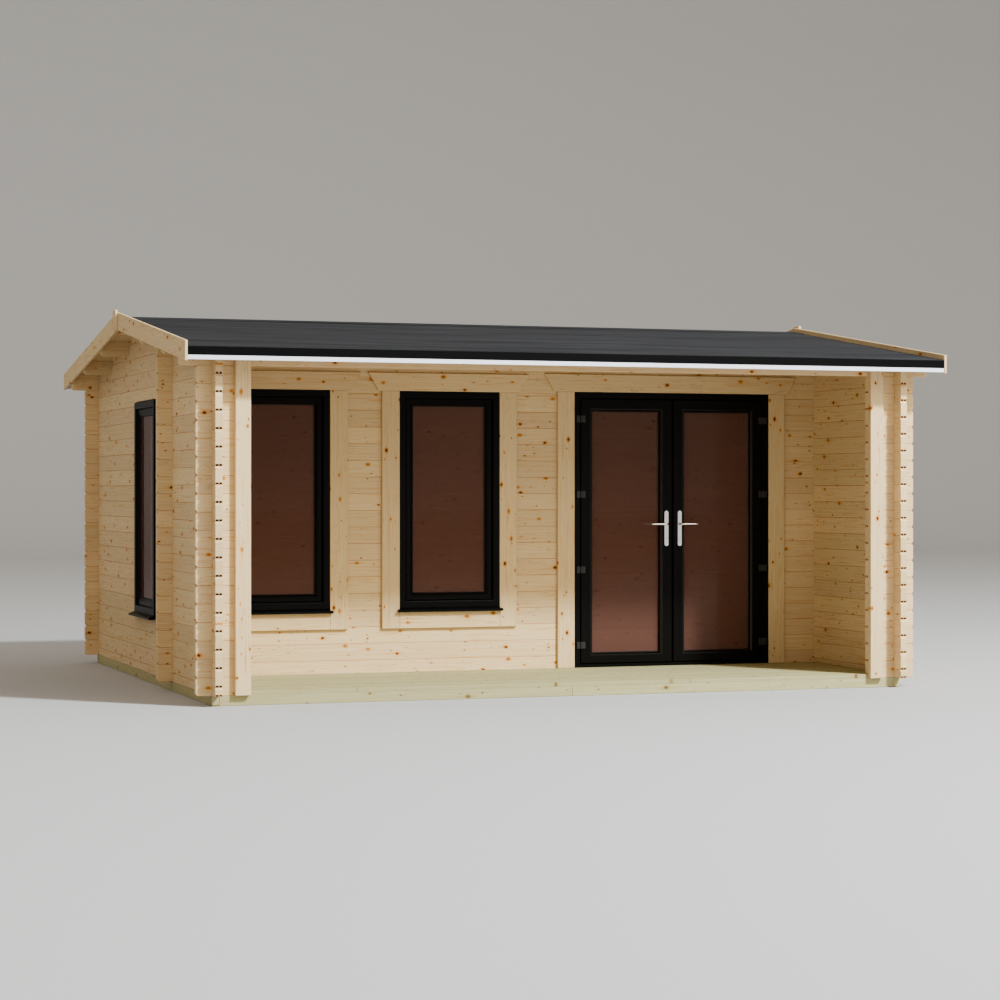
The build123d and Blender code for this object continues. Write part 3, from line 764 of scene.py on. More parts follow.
@dataclass(frozen=True)
class PlainFinish:
    """A finish with one colour all over.

    Attributes:
        name: What it is made of and how its surface was made.
        slot: Its slot in the record.
        colour: Its colour.
        roughness: 0 for a mirror, 1 for chalk.
        metallic: 1 for bare metal.
        ior: How strongly a bare surface reflects; a metal keeps the default.
        texture_size: Width of the fine texture of its surface, or 0 for none.
        opacity: Share of light that it stops.
        specular: 0.5 for a clean surface, less where the fine texture of the surface hides its shine.
    """

    name: str
    slot: str
    colour: str
    roughness: float
    metallic: float = 0.0
    ior: float = 1.5
    texture_size: float = 0.0
    opacity: float = 1.0
    specular: float = 0.5

    def material(self) -> Material:
        """Build the material.

        Returns:
            The material.
        """
        material, tree, output = new_material(self.name)
        surface = add_node(
            tree, "ShaderNodeBsdfPrincipled",
            {"Base Color": linear(self.colour), "Roughness": self.roughness, "Metallic": self.metallic,
             "IOR": self.ior, "Alpha": self.opacity, "Specular IOR Level": self.specular},
        )
        if self.texture_size > 0:
            place = add_node(tree, "ShaderNodeTexCoord").outputs["Object"]
            texture = add_node(
                tree, "ShaderNodeTexNoise", {"Vector": place, "Scale": 1 / self.texture_size, "Detail": 2.0}
            )
            bump = add_node(
                tree, "ShaderNodeBump",
                {"Strength": 0.15, "Distance": 0.2 * MM, "Height": texture.outputs["Fac"]},
            )
            tree.links.new(bump.outputs[0], surface.inputs["Normal"])
        tree.links.new(surface.outputs[0], output.inputs["Surface"])
        return material


@dataclass(frozen=True)
class Finish:
    """A built material with its slot in the record."""

    material: Material
    slot: str


class Finishes:
    """Every finish of the cabin, built once."""

    def __init__(self) -> None:
        """Build the materials."""
        # Planed spruce left bare: cream with amber knots, and reddish painted shade in the joints and on
        # their eased edges
        self.spruce = self._finish(PlanedSoftwood(
            "planed_spruce", "untreated_spruce", early_wood="#E0CAA2", late_wood="#D1AF7C",
            stain="#CB9152", knot_halo="#C58539", knot_core="#5E2E12", seam="#BC6E36",
        ))
        # Pressure treatment leaves a thin green-grey cast and dulls the knots; its joint colour for painted
        # shade shows on no treated piece, as none is jointed
        self.treated = self._finish(PlanedSoftwood(
            "pressure_treated_pine", "treated_timber", early_wood="#B5AF87", late_wood="#A29A70",
            stain="#A08F60", knot_halo="#93804F", knot_core="#6F5A38", seam="#6E6440", roughness=0.75,
            check_share=0.4,
        ))
        self.felt = self._finish(MineralFelt())
        # Foamed PVC has a satin skin with a barely uneven surface
        self.fascia = self._finish(PlainFinish(
            "foamed_pvc_board_white", "white_fascia", "#E9E9F1", 0.4, texture_size=6 * MM
        ))
        # Plastic-coated steel: near black, with a dull, slightly orange-peeled shine
        self.drip = self._finish(PlainFinish(
            "coated_steel_drip_black", "black_drip_edge", "#070707", 0.5, texture_size=4 * MM, specular=0.12
        ))
        # A fine-grained foil on extruded PVC keeps it black even where the light is strong
        self.profile = self._finish(PlainFinish(
            "extruded_pvc_profile_black", "black_window_profile", "#0A0A08", 0.42, ior=1.52,
            texture_size=3 * MM, specular=0.14,
        ))
        # The snap-in beads are smoother than the frame, so their slopes catch the light
        self.bead = self._finish(PlainFinish(
            "polished_pvc_bead_black", "black_window_profile", "#0C0C0A", 0.2, ior=1.52
        ))
        # Extruded rubber is duller than the profile and shows as a dark line beside the glass
        self.gasket = self._finish(PlainFinish(
            "extruded_rubber_gasket", "black_window_profile", "#060606", 0.7
        ))
        # Bronze-tinted float glass: smooth, brown, with the room just visible through it
        self.glass = self._finish(PlainFinish(
            "float_glass_tinted", "tinted_glass", "#78564B", 0.02, ior=1.52, opacity=0.52, specular=0.14
        ))
        # Powder-coated steel is dark grey with a soft, broad shine
        self.hinge = self._finish(PlainFinish(
            "powder_coated_steel_hinge", "black_hinge", "#2A2A28", 0.38, texture_size=2 * MM
        ))
        # Polished chrome plate mirrors the bright studio and shows nearly white
        self.chrome = self._finish(PlainFinish(
            "polished_chrome_plate", "bright_handle", "#EDEDED", 0.14, metallic=1.0
        ))
        # The slot of a lock is seen as plain dark shade
        self.keyway = self._finish(PlainFinish("shadowed_keyway", "bright_handle", "#0A0A0A", 0.8))

    def _finish(self, kind: PlanedSoftwood | MineralFelt | PlainFinish) -> Finish:
        """Build one finish."""
        return Finish(kind.material(), kind.slot)


def coat(piece: Piece, finish: Finish) -> None:
    """Put a material on a piece in place of any other."""
    piece.data.materials.clear()
    piece.data.materials.append(finish.material)


def dress(piece: Piece, finish: Finish, nodes: Sequence[str] = (), body: str = CABIN_BODY) -> None:
    """Give a piece its finish and its body, and hide the plain nodes that it stands for.

    Args:
        piece: The object.
        finish: Its material and slot.
        nodes: The plain nodes that it stands for.
        body: The body that it moves with.
    """
    coat(piece, finish)
    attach(piece, body)
    if nodes:
        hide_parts(*nodes)
    LOG.info("%s: %d faces", piece.name, len(piece.data.polygons))


# Walls of machined logs


@dataclass(frozen=True)
class LogProfile:
    """Section of a wall log: eased faces, two tongues on top and two deeper grooves below."""

    thickness: float = 44 * MM
    seam: float = 0.3 * MM
    arris: float = 1.8 * MM
    tongue_offset: float = 10.5 * MM
    tongue_root: float = 6 * MM
    tongue_tip: float = 4 * MM
    tongue_height: float = 1.5 * MM
    groove_mouth: float = 17 * MM
    groove_root: float = 13 * MM
    groove_depth: float = 13 * MM
    end_notch_length: float = 11 * MM
    end_notch_height: float = 14 * MM

    def section(self, bottom: float, top: float) -> list[Point]:
        """Outline of (through the wall, up) between two heights.

        Args:
            bottom: Height of the joint below.
            top: Height of the joint above.

        Returns:
            The corners in order.
        """
        half = self.thickness / 2
        low = bottom + self.seam
        outline = [(-half, low + self.arris), (-half + self.arris, low)]
        for middle in (-self.tongue_offset, self.tongue_offset):
            outline += [
                (middle - self.groove_mouth / 2, low),
                (middle - self.groove_root / 2, low + self.groove_depth),
                (middle + self.groove_root / 2, low + self.groove_depth),
                (middle + self.groove_mouth / 2, low),
            ]
        outline += [(half - self.arris, low), (half, low + self.arris)]
        outline += [(half, top - self.arris), (half - self.arris, top)]
        for middle in (self.tongue_offset, -self.tongue_offset):
            outline += [
                (middle + self.tongue_root / 2, top),
                (middle + self.tongue_tip / 2, top + self.tongue_height),
                (middle - self.tongue_tip / 2, top + self.tongue_height),
                (middle - self.tongue_root / 2, top),
            ]
        return outline + [(-half + self.arris, top), (-half, top - self.arris)]


@dataclass(frozen=True)
class Cut:
    """An outline and the depths between which it is cut out."""

    outline: list[Point]
    plane: Plane
    near: float
    far: float


@dataclass
class LogWall:
    """One wall of logs, machined from blanks with notches, openings and slopes cut out.

    Attributes:
        name: The piece's name.
        node: The plain node that it stands for.
        run: The way its logs run.
        centre: Place of the wall's middle plane across the run.
        start: Where its logs begin.
        end: Where its logs finish.
        logs: Bottom and top of each log.
        seed: Start of its boards' random draws.
        ends: The free ends, whose corners are notched at every joint.
        openings: Rectangles cut out for windows, doors and purlins.
        crossings: Rectangles that the crossing walls' logs fill.
        slopes: Cuts along the roof's slopes, one after another.
    """

    name: str
    node: str
    run: Run
    centre: float
    start: float
    end: float
    logs: list[Point]
    seed: int
    ends: tuple[float, ...] = ()
    openings: list[Rect] = field(default_factory=list)
    crossings: list[Rect] = field(default_factory=list)
    slopes: list[Cut] = field(default_factory=list)
    profile: LogProfile = LogProfile()

    def build(self, finishes: Finishes) -> None:
        """Machine the wall and dress it.

        Args:
            finishes: Every finish of the cabin.
        """
        plane = self.run.value
        across = Plane.END if plane is Plane.FACE else Plane.FACE
        blanks = Workpiece()
        for bottom, top in self.logs:
            section = [(self.centre + through, up) for through, up in self.profile.section(bottom, top)]
            blanks.prism(section, across, self.start, self.end)
        near = self.centre - self.profile.thickness
        far = self.centre + self.profile.thickness
        groups = []
        for outlines in (
            [rectangle(*rect) for rect in self.crossings],
            self._end_notches(),
            [rectangle(*rect) for rect in self.openings],
        ):
            if outlines:
                group = Workpiece()
                for outline in outlines:
                    group.prism(outline, plane, near, far)
                groups.append(group)
        for slope in self.slopes:
            group = Workpiece()
            group.prism(slope.outline, slope.plane, slope.near, slope.far)
            groups.append(group)
        wall = cut(blanks.finished(self.name), groups)
        # The grooves and eased edges of these logs get painted shade
        lay_grain(wall, self.seed, axis=0 if self.run is Run.SIDEWAYS else 1, jointed=True)
        dress(wall, finishes.spruce, [self.node])

    def _end_notches(self) -> list[list[Point]]:
        """Outlines of the notches where two logs meet at a free end.

        Returns:
            One square on its corner for each end and joint.
        """
        run = self.profile.end_notch_length
        rise = self.profile.end_notch_height
        joints = sorted({bottom for bottom, _ in self.logs} | {top for _, top in self.logs})
        return [
            [(end - run, joint), (end, joint - rise), (end + run, joint), (end, joint + rise)]
            for end in self.ends for joint in joints
        ]


# Sizes of the cabin


@dataclass(frozen=True)
class CabinSizes:
    """Driving sizes in metres, as the solids have them, with what is worked out from them."""

    cover: float = 110 * MM
    log: float = 44 * MM
    fit: float = 0.4 * MM
    eaves_courses: int = 18
    gable_courses: int = 21
    glazed_courses: int = 21
    lintel_course: int = 17
    side_x: float = 2282.5 * MM
    end_y: float = 1983.5 * MM
    porch_depth: float = 1185 * MM
    porch_opening: float = 4146 * MM
    corner_overhang: float = 98 * MM
    bearer: float = 62 * MM
    floor_board: float = 26 * MM
    pitch: float = 8.0
    plate_height: float = 114 * MM
    eaves_overhang: float = 240 * MM
    gable_overhang: float = 219 * MM
    roof_board: float = 18 * MM
    felt: float = 4 * MM
    purlin_width: float = 44 * MM
    purlin_height: float = 97 * MM
    purlin_offsets: tuple[float, ...] = (-1454 * MM, -746 * MM, 0.0, 746 * MM, 1454 * MM)
    window_width: float = 700 * MM
    window_height: float = 1440 * MM
    window_centres: Point = (-1611 * MM, -433 * MM)
    window_middle: float = 1233 * MM
    side_window_y: float = 97.5 * MM
    side_window_middle: float = 1178 * MM
    frame_proud: float = 12 * MM
    frame_depth: float = 70 * MM
    sill_height: float = 26 * MM
    opening_fit: float = 6 * MM
    door_centre: float = 1179 * MM
    door_width: float = 1447 * MM
    door_height: float = 1874 * MM
    door_step: float = 27 * MM

    @property
    def slope(self) -> float:
        """Rise of the roof for each metre run."""
        return math.tan(math.radians(self.pitch))

    @property
    def front_y(self) -> float:
        """Middle plane of the return walls."""
        return -self.end_y

    @property
    def glazed_y(self) -> float:
        """Middle plane of the glazed wall."""
        return self.front_y + self.porch_depth

    @property
    def outer_y(self) -> float:
        """Outer face of the back wall."""
        return self.end_y + self.log / 2

    @property
    def eaves_z(self) -> float:
        """Top of the courses at the eaves."""
        return self.bearer + self.eaves_courses * self.cover

    @property
    def log_end_x(self) -> float:
        """Ends of the logs that run sideways."""
        return self.side_x + self.log / 2 + self.corner_overhang

    @property
    def log_end_y(self) -> float:
        """Ends of the logs that run front to back."""
        return self.outer_y + self.corner_overhang

    @property
    def roof_end_x(self) -> float:
        """Inner face of the bargeboards, less a fit."""
        return self.side_x + self.gable_overhang - self.fit

    @property
    def eaves_y(self) -> float:
        """Edge of the felt at the eaves."""
        return self.outer_y + self.eaves_overhang

    @property
    def glazed_face(self) -> float:
        """Front face of the glazed wall."""
        return self.glazed_y - self.log / 2

    @property
    def frame_front(self) -> float:
        """Front face of the window and door frames."""
        return self.glazed_face - self.frame_proud

    @property
    def deck_top(self) -> float:
        """Top of the floors."""
        return self.bearer + self.floor_board

    def roof_z(self, y: float, lift: float = 0.0) -> float:
        """Underside of the roof boards at y, plus a lift straight up."""
        return self.eaves_z + self.plate_height + (self.outer_y - abs(y)) * self.slope + lift

    def square_lift(self, thickness: float) -> float:
        """Height straight up through a layer of the roof."""
        return thickness / math.cos(math.radians(self.pitch))


@dataclass
class Walls:
    """All the log walls with the plates and purlins that lie on them."""

    sizes: CabinSizes
    finishes: Finishes
    plate_arris: float = 2 * MM
    plate_rounding: float = 18 * MM
    purlin_arris: float = 1.5 * MM
    purlin_corner: float = 18 * MM

    def build(self) -> None:
        """Build every wall."""
        for wall in (*self._side_walls(), *self._cross_walls()):
            wall.build(self.finishes)
        self._plates()
        self._purlins()

    def _front_logs(self, first: int, after_last: int) -> list[Point]:
        """Heights of whole logs of a wall that runs sideways."""
        s = self.sizes
        return [(s.bearer + i * s.cover, s.bearer + (i + 1) * s.cover) for i in range(first, after_last)]

    def _side_logs(self) -> list[Point]:
        """Heights of the logs of a side wall, which begin and end with part logs.

        Returns:
            Bottom and top of each log.
        """
        s = self.sizes
        joints = [s.bearer] + [s.bearer + (i + 0.5) * s.cover for i in range(s.gable_courses)]
        return list(zip(joints, joints[1:] + [s.roof_z(0)]))

    def _crossing(self, across: float, middle: float) -> Rect:
        """The rectangle that one crossing log fills.

        Args:
            across: Middle of the crossing wall.
            middle: Height that the crossing log is centred on.

        Returns:
            The rectangle with its fit.
        """
        s = self.sizes
        half = s.log / 2 + s.fit
        rise = (s.cover / 2 + s.fit) / 2
        return across - half, middle - rise, across + half, middle + rise

    def _front_crossings(self, first: int, after_last: int) -> list[Rect]:
        """What the side walls' logs fill of a wall that runs sideways.

        Args:
            first: The first joint between courses, counted from 0.
            after_last: The joint after the last one.

        Returns:
            One rectangle for each joint and side.
        """
        s = self.sizes
        return [
            self._crossing(x, s.bearer + i * s.cover)
            for x in (-s.side_x, s.side_x) for i in range(first, after_last)
        ]

    def _slope_cuts(self, near: float, far: float) -> list[Cut]:
        """What the two slopes of the roof take off a side wall.

        Args:
            near: Where the cuts begin across the wall.
            far: Where they end.

        Returns:
            The cut at the front and the cut at the back.
        """
        s = self.sizes
        top = s.roof_z(0) + 0.5
        reach = s.log_end_y + 0.1
        return [
            Cut([(0, s.roof_z(0)), (side * reach, s.roof_z(reach)), (side * reach, top), (0, top)],
                Plane.END, near, far)
            for side in (-1, 1)
        ]

    def _opening(self, centre: float, middle: float) -> Rect:
        """Hole for a window with its sill.

        Args:
            centre: Middle of the window along the wall.
            middle: Its middle height.

        Returns:
            The hole with its fit.
        """
        s = self.sizes
        half = s.window_width / 2 + s.opening_fit
        top = middle + s.window_height / 2 + s.opening_fit
        return centre - half, middle - s.window_height / 2 - s.sill_height, centre + half, top

    def _side_walls(self) -> list[LogWall]:
        """Left and right walls with their gables.

        Returns:
            The left wall and the right wall.
        """
        s = self.sizes
        crossings = [
            self._crossing(y, s.bearer + (i + 0.5) * s.cover)
            for y, count in (
                (s.front_y, s.eaves_courses + 1),
                (s.glazed_y, s.glazed_courses),
                (s.end_y, s.eaves_courses + 1),
            )
            for i in range(count)
        ]
        half = s.purlin_width / 2 + s.fit
        pockets = [
            (y - half, s.roof_z(y) - s.purlin_height - s.fit, y + half, s.roof_z(0) + s.log)
            for y in s.purlin_offsets
        ]
        window = self._opening(s.side_window_y, s.side_window_middle)
        found = []
        for name, side, openings, seed in (("left", -1, [window], 11), ("right", 1, [], 12)):
            centre = side * s.side_x
            found.append(LogWall(
                f"{name}_wall_logs", f"{name}_wall", Run.FRONT_TO_BACK, centre, -s.log_end_y, s.log_end_y,
                self._side_logs(), seed, (-s.log_end_y, s.log_end_y), openings + pockets, crossings,
                self._slope_cuts(centre - s.log, centre + s.log),
            ))
        return found

    def _cross_walls(self) -> list[LogWall]:
        """Back wall, the three parts of the glazed wall and the two returns.

        Returns:
            The six walls whose logs run sideways.
        """
        s = self.sizes
        end = s.log_end_x
        eaves = self._front_crossings(0, s.eaves_courses + 1)
        below = self._front_crossings(0, s.lintel_course + 1)
        above = self._front_crossings(s.lintel_course, s.glazed_courses + 1)
        windows = [self._opening(x, s.window_middle) for x in s.window_centres]
        door = (
            s.door_centre - s.door_width / 2 - s.opening_fit, s.bearer - s.log,
            s.door_centre + s.door_width / 2 + s.opening_fit,
            s.bearer + s.door_step + s.door_height + s.opening_fit,
        )
        full = self._front_logs(0, s.eaves_courses)
        sides = self._front_logs(0, s.lintel_course)
        top = self._front_logs(s.lintel_course, s.glazed_courses)
        near, far = s.glazed_y - s.log, s.glazed_y + s.log
        high = s.roof_z(0) + s.log
        roof_cut = Cut(
            [(near, s.roof_z(near)), (far, s.roof_z(far)), (far, high), (near, high)],
            Plane.END, -end - s.log, end + s.log,
        )
        mouth = s.porch_opening / 2
        left_below, right_below, left_eaves, right_eaves = (
            [c for c in rects if side * c[0] > 0] for rects in (below, eaves) for side in (-1, 1)
        )
        return [
            LogWall(
                name, node, Run.SIDEWAYS, y, start, stop, logs, seed, ends, openings, crossings, slopes
            )
            for name, node, y, start, stop, logs, seed, ends, openings, crossings, slopes in (
                ("back_wall_logs", "back_wall", s.end_y, -end, end, full, 13,
                 (-end, end), [], eaves, []),
                ("front_wall_left_logs", "front_wall_left", s.glazed_y, -end, door[0], sides, 14,
                 (-end,), windows, left_below, []),
                ("front_wall_right_logs", "front_wall_right", s.glazed_y, door[2], end, sides, 15,
                 (end,), [], right_below, []),
                ("front_wall_top_logs", "front_wall_top", s.glazed_y, -end, end, top, 16,
                 (-end, end), windows + [door], above, [roof_cut]),
                ("left_return_logs", "left_return_wall", s.front_y, -end, -mouth, full, 17,
                 (-end,), [], left_eaves, []),
                ("right_return_logs", "right_return_wall", s.front_y, mouth, end, full, 18,
                 (end,), [], right_eaves, []),
            )
        ]

    def _plates(self) -> None:
        """Top logs at front and back, long enough to carry the gable overhang."""
        s = self.sizes
        low = s.eaves_z + LogProfile().seam
        rounding = self.plate_rounding
        for name, side, seed in (("front_eaves_plate", -1, 21), ("back_eaves_plate", 1, 22)):
            blank = Workpiece()
            y_in = side * (s.end_y - s.log / 2)
            y_out = side * s.outer_y
            blank.prism(
                [(y_in, low), (y_out, low), (y_out, s.roof_z(y_out)), (y_in, s.roof_z(y_in))],
                Plane.END, -s.roof_end_x, s.roof_end_x, self.plate_arris,
            )
            near = side * s.end_y - s.log
            notches = Workpiece()
            for rect in self._front_crossings(s.eaves_courses, s.eaves_courses + 2):
                notches.prism(rectangle(*rect), Plane.FACE, near, near + 2 * s.log)
            corners = Workpiece()
            for end in (-1, 1):
                x = end * s.roof_end_x
                corners.prism(
                    [(x - end * rounding, low - rounding / 4), (x + end * rounding, low - rounding / 4),
                     (x + end * rounding, low + 2 * rounding), (x, low + rounding),
                     (x - end * rounding * 0.3, low + rounding * 0.3)],
                    Plane.FACE, near, near + 2 * s.log,
                )
            plate = cut(blank.finished(f"{name}_log"), [notches, corners])
            lay_grain(plate, seed, axis=0)
            dress(plate, self.finishes.spruce, [name])

    def _purlins(self) -> None:
        """Ridge beam and purlins with the lower corners of their ends cut off."""
        s = self.sizes
        half = s.purlin_width / 2
        corner = self.purlin_corner
        beams = Workpiece()
        corners = Workpiece()
        for y in s.purlin_offsets:
            low = s.roof_z(y) - s.purlin_height
            ridge = [(0.0, s.roof_z(0))] if y == 0 else []
            outline = [(y - half, low), (y + half, low), (y + half, s.roof_z(y + half)), *ridge,
                       (y - half, s.roof_z(y - half))]
            beams.prism(outline, Plane.END, -s.roof_end_x, s.roof_end_x, self.purlin_arris)
            for end in (-1, 1):
                x = end * s.roof_end_x
                corners.prism(
                    [(x - end * corner * 2, low - corner), (x + end * corner, low - corner),
                     (x + end * corner, low + corner * 2)],
                    Plane.FACE, y - s.purlin_width, y + s.purlin_width,
                )
        purlins = cut(beams.finished("ridge_and_purlins"), [corners])
        lay_grain(purlins, 23, axis=0)
        dress(purlins, self.finishes.spruce, ["purlins"])


@dataclass
class Foundation:
    """Bearers, joists, the porch deck and the floor inside."""

    sizes: CabinSizes
    finishes: Finishes
    arris: float = 2 * MM
    deck_cover: float = 118 * MM
    joists: int = 9

    def build(self) -> None:
        """Lay the timbers."""
        self._bearers()
        self._deck()
        self._floor()

    def _bearers(self) -> None:
        """Treated bearers under the walls and joists between them."""
        s = self.sizes
        cross_x = s.side_x - s.log / 2 - s.fit
        half = s.log / 2
        front, back = -s.outer_y, s.outer_y
        for name, boards in (
            ("side_bearers", [((side * s.side_x - half, front), (side * s.side_x + half, back))
                              for side in (-1, 1)]),
            *((name, [((-cross_x, y - half), (-s.fit, y + half)), ((s.fit, y - half), (cross_x, y + half))])
              for name, y in (("front_bearer", s.front_y), ("back_bearer", s.end_y))),
        ):
            timbers = Workpiece()
            for low, high in boards:
                timbers.box((*low, 0), (*high, s.bearer), self.arris)
            self._treated(timbers, f"{name}_timber", name, 31)
        middle = Workpiece()
        middle.box((-cross_x, s.glazed_y - half, 0), (cross_x, s.glazed_y + half, s.bearer), self.arris)
        door_half = s.door_width / 2
        middle.box(
            (s.door_centre - door_half, s.glazed_y - half, s.bearer),
            (s.door_centre + door_half, s.glazed_y + half, s.bearer + s.door_step - s.fit), self.arris / 2,
        )
        self._treated(middle, "middle_bearer_timber", "middle_bearer", 32)

        joists = Workpiece()
        pitch = 2 * (s.side_x - s.log / 2) / (self.joists + 1)
        for start, end in ((s.front_y, s.glazed_y), (s.glazed_y, s.end_y)):
            for i in range(self.joists):
                x = (i - (self.joists - 1) / 2) * pitch
                near, far = start + half + s.fit, end - half - s.fit
                joists.box((x - half, near, 0), (x + half, far, s.bearer), self.arris)
        self._treated(joists, "floor_joist_timbers", "floor_joists", 33)

    def _treated(self, timbers: Workpiece, name: str, node: str, seed: int) -> None:
        """Finish treated timbers as one piece.

        Args:
            timbers: The timbers.
            name: The piece's name.
            node: The plain node that it stands for.
            seed: Start of the random draws.
        """
        piece = timbers.finished(name)
        lay_grain(piece, seed)
        dress(piece, self.finishes.treated, [node])

    def _deck(self) -> None:
        """Deck boards that run sideways; the first one reaches out between the posts."""
        s = self.sizes
        mouth = s.porch_opening / 2 - s.fit
        side = s.side_x - s.log / 2 - s.fit
        shoulder = s.front_y + s.log / 2 + s.fit
        back = s.glazed_face - s.fit
        front = -s.outer_y
        count = round((back - front) / self.deck_cover)
        width = (back - front) / count
        deck = Workpiece()
        deck.prism(
            [(-mouth, front), (mouth, front), (mouth, shoulder), (side, shoulder), (side, front + width),
             (-side, front + width), (-side, shoulder), (-mouth, shoulder)],
            Plane.PLAN, s.bearer, s.deck_top, self.arris / 2,
        )
        for i in range(1, count):
            low = (-side, front + i * width + s.fit, s.bearer)
            deck.box(low, (side, front + (i + 1) * width, s.deck_top), self.arris / 2)
        self._treated(deck, "porch_deck_boards", "porch_deck", 34)

    def _floor(self) -> None:
        """Floorboards inside."""
        s = self.sizes
        low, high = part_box("interior_floor")
        count = round((high.y - low.y) / s.cover)
        width = (high.y - low.y) / count
        floor = Workpiece()
        for i in range(count):
            y = low.y + i * width
            near, far = y + s.fit / 2, y + width - s.fit / 2
            floor.box((low.x, near, low.z), (high.x, far, high.z), self.arris / 2)
        boards = floor.finished("interior_floorboards")
        lay_grain(boards, 35)
        dress(boards, self.finishes.spruce, ["interior_floor"])


@dataclass
class Roof:
    """Boards, felt, bargeboards, apex blocks, fascias and drip edges.

    Attributes:
        sheet_share: Thickness of one sheet as a share of the solids' whole layer of felt.
        lap_lift: How far a lapped edge is lifted, in sheets.
        capping_lift: How far the capping lies above the boards, in sheets.
        barge_rise: How far the bargeboards stand above the felt.
        apex_rise: How far the apex blocks stand above the bargeboards.
    """

    sizes: CabinSizes
    finishes: Finishes
    board_width: float = 96 * MM
    arris: float = 2.5 * MM
    strips: int = 3
    lap: float = 80 * MM
    sheet_share: float = 0.75
    lap_lift: float = 0.3
    capping_reach: float = 160 * MM
    capping_lift: float = 1.4
    barge_thickness: float = 18 * MM
    barge_height: float = 121 * MM
    barge_rise: float = 32 * MM
    barge_overhang: float = 2 * MM
    apex_rise: float = 13 * MM
    apex_half_width: float = 46 * MM
    apex_height: float = 142 * MM
    apex_corner: float = 8 * MM
    fascia_thickness: float = 18 * MM
    drip_thickness: float = 2 * MM

    def build(self) -> None:
        """Build the roof from the boards up."""
        self._boards()
        self._felt()
        self._bargeboards()
        self._eaves()

    def _strip(self, y_from: float, y_to: float, low: float, high: float) -> list[Point]:
        """A strip of the roof's section between two heights above the boards' underside.

        Args:
            y_from: Where the strip begins.
            y_to: Where it ends.
            low: Its lower height.
            high: Its upper height.

        Returns:
            The corners in order.
        """
        s = self.sizes
        return [(y_from, s.roof_z(y_from, low)), (y_to, s.roof_z(y_to, low)),
                (y_to, s.roof_z(y_to, high)), (y_from, s.roof_z(y_from, high))]

    def _boards(self) -> None:
        """Boards from ridge to eaves, with a fine vee at each joint."""
        s = self.sizes
        count = round(2 * s.roof_end_x / self.board_width)
        width = 2 * s.roof_end_x / count
        rise = s.square_lift(s.roof_board)
        for name, side, seed in (("front_roof_boards", -1, 41), ("back_roof_boards", 1, 42)):
            low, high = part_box(name)
            outer = low.y if side < 0 else high.y
            outline = self._strip(side * s.fit / 2, outer, 0, rise)
            boards = Workpiece()
            for i in range(count):
                x = -s.roof_end_x + i * width
                boards.prism(outline, Plane.END, x + s.fit / 4, x + width - s.fit / 4, self.arris)
            piece = boards.finished(f"{name}_laid")
            lay_grain(piece, seed, axis=1, slope=s.slope)
            dress(piece, self.finishes.spruce, [name])

    def _felt(self) -> None:
        """Strips of felt along each slope, lapped upwards, and a capping over the ridge."""
        s = self.sizes
        bed = s.square_lift(s.roof_board)
        sheet = s.square_lift(s.felt) * self.sheet_share
        felt = Workpiece()
        run = s.eaves_y / self.strips
        for side in (-1, 1):
            for i in range(self.strips):
                lower = side * (s.eaves_y - i * run)
                upper = side * max(s.eaves_y - (i + 1) * run - self.lap, 0.001)
                lift = 0.0 if i == 0 else self.lap_lift * sheet
                felt.prism(
                    [(lower, s.roof_z(lower, bed + lift)), (upper, s.roof_z(upper, bed)),
                     (upper, s.roof_z(upper, bed + sheet)), (lower, s.roof_z(lower, bed + lift + sheet))],
                    Plane.END, -s.roof_end_x, s.roof_end_x,
                )
        cap = self.capping_reach
        low = bed + self.capping_lift * sheet
        high = low + sheet
        felt.prism(
            [(-cap, s.roof_z(cap, low)), (0, s.roof_z(0, low)), (cap, s.roof_z(cap, low)),
             (cap, s.roof_z(cap, high)), (0, s.roof_z(0, high)), (-cap, s.roof_z(cap, high))],
            Plane.END, -s.roof_end_x, s.roof_end_x,
        )
        dress(felt.finished("roof_felt_strips"), self.finishes.felt, ["roof_felt"])

    def _bargeboards(self) -> None:
        """Bargeboards mitred at the ridge, each pair under its apex block."""
        s = self.sizes
        thickness = self.barge_thickness
        high = s.square_lift(s.roof_board) + s.square_lift(s.felt) + self.barge_rise
        low = high - self.barge_height
        end_y = s.eaves_y + self.barge_overhang
        inner = s.side_x + s.gable_overhang
        for name, side, seed in (("left_bargeboards", -1, 43), ("right_bargeboards", 1, 44)):
            pair = Workpiece()
            for way in (-1, 1):
                near, far = sorted((side * inner, side * (inner + thickness)))
                outline = self._strip(way * end_y, way * s.fit / 2, low, high)
                pair.prism(outline, Plane.END, near, far, self.arris)
            piece = pair.finished(f"{name}_planed")
            lay_grain(piece, seed, axis=1, slope=s.slope)
            dress(piece, self.finishes.spruce, [name])

        blocks = Workpiece()
        top = s.roof_z(0, high) + self.apex_rise
        bottom = top - self.apex_height
        half = self.apex_half_width
        inset = half - self.apex_corner
        low_corner, high_corner = bottom + self.apex_corner, top - self.apex_corner
        for side in (-1, 1):
            near, far = sorted((side * (inner + thickness), side * (inner + 2 * thickness)))
            blocks.prism(
                [(-inset, bottom), (inset, bottom), (half, low_corner), (half, high_corner),
                 (inset, top), (-inset, top), (-half, high_corner), (-half, low_corner)],
                Plane.END, near, far, self.arris,
            )
        piece = blocks.finished("apex_blocks_planed")
        lay_grain(piece, 45, axis=2)
        dress(piece, self.finishes.spruce, ["apex_blocks"])

    def _eaves(self) -> None:
        """White fascias and the dark drip edges, each laid as flat strips along the front and the back
        eaves.
        """
        for node, name, finish, thickness, arris in (
            ("eaves_fascias", "fascia_boards", self.finishes.fascia, self.fascia_thickness, 1.5 * MM),
            ("drip_edges", "folded_drip_edges", self.finishes.drip, self.drip_thickness, 0.4 * MM),
        ):
            low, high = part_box(node)
            boards = Workpiece()
            boards.box(low, (high.x, low.y + thickness, high.z), arris)
            boards.box((low.x, high.y - thickness, low.z), high, arris)
            dress(boards.finished(name), finish, [node])


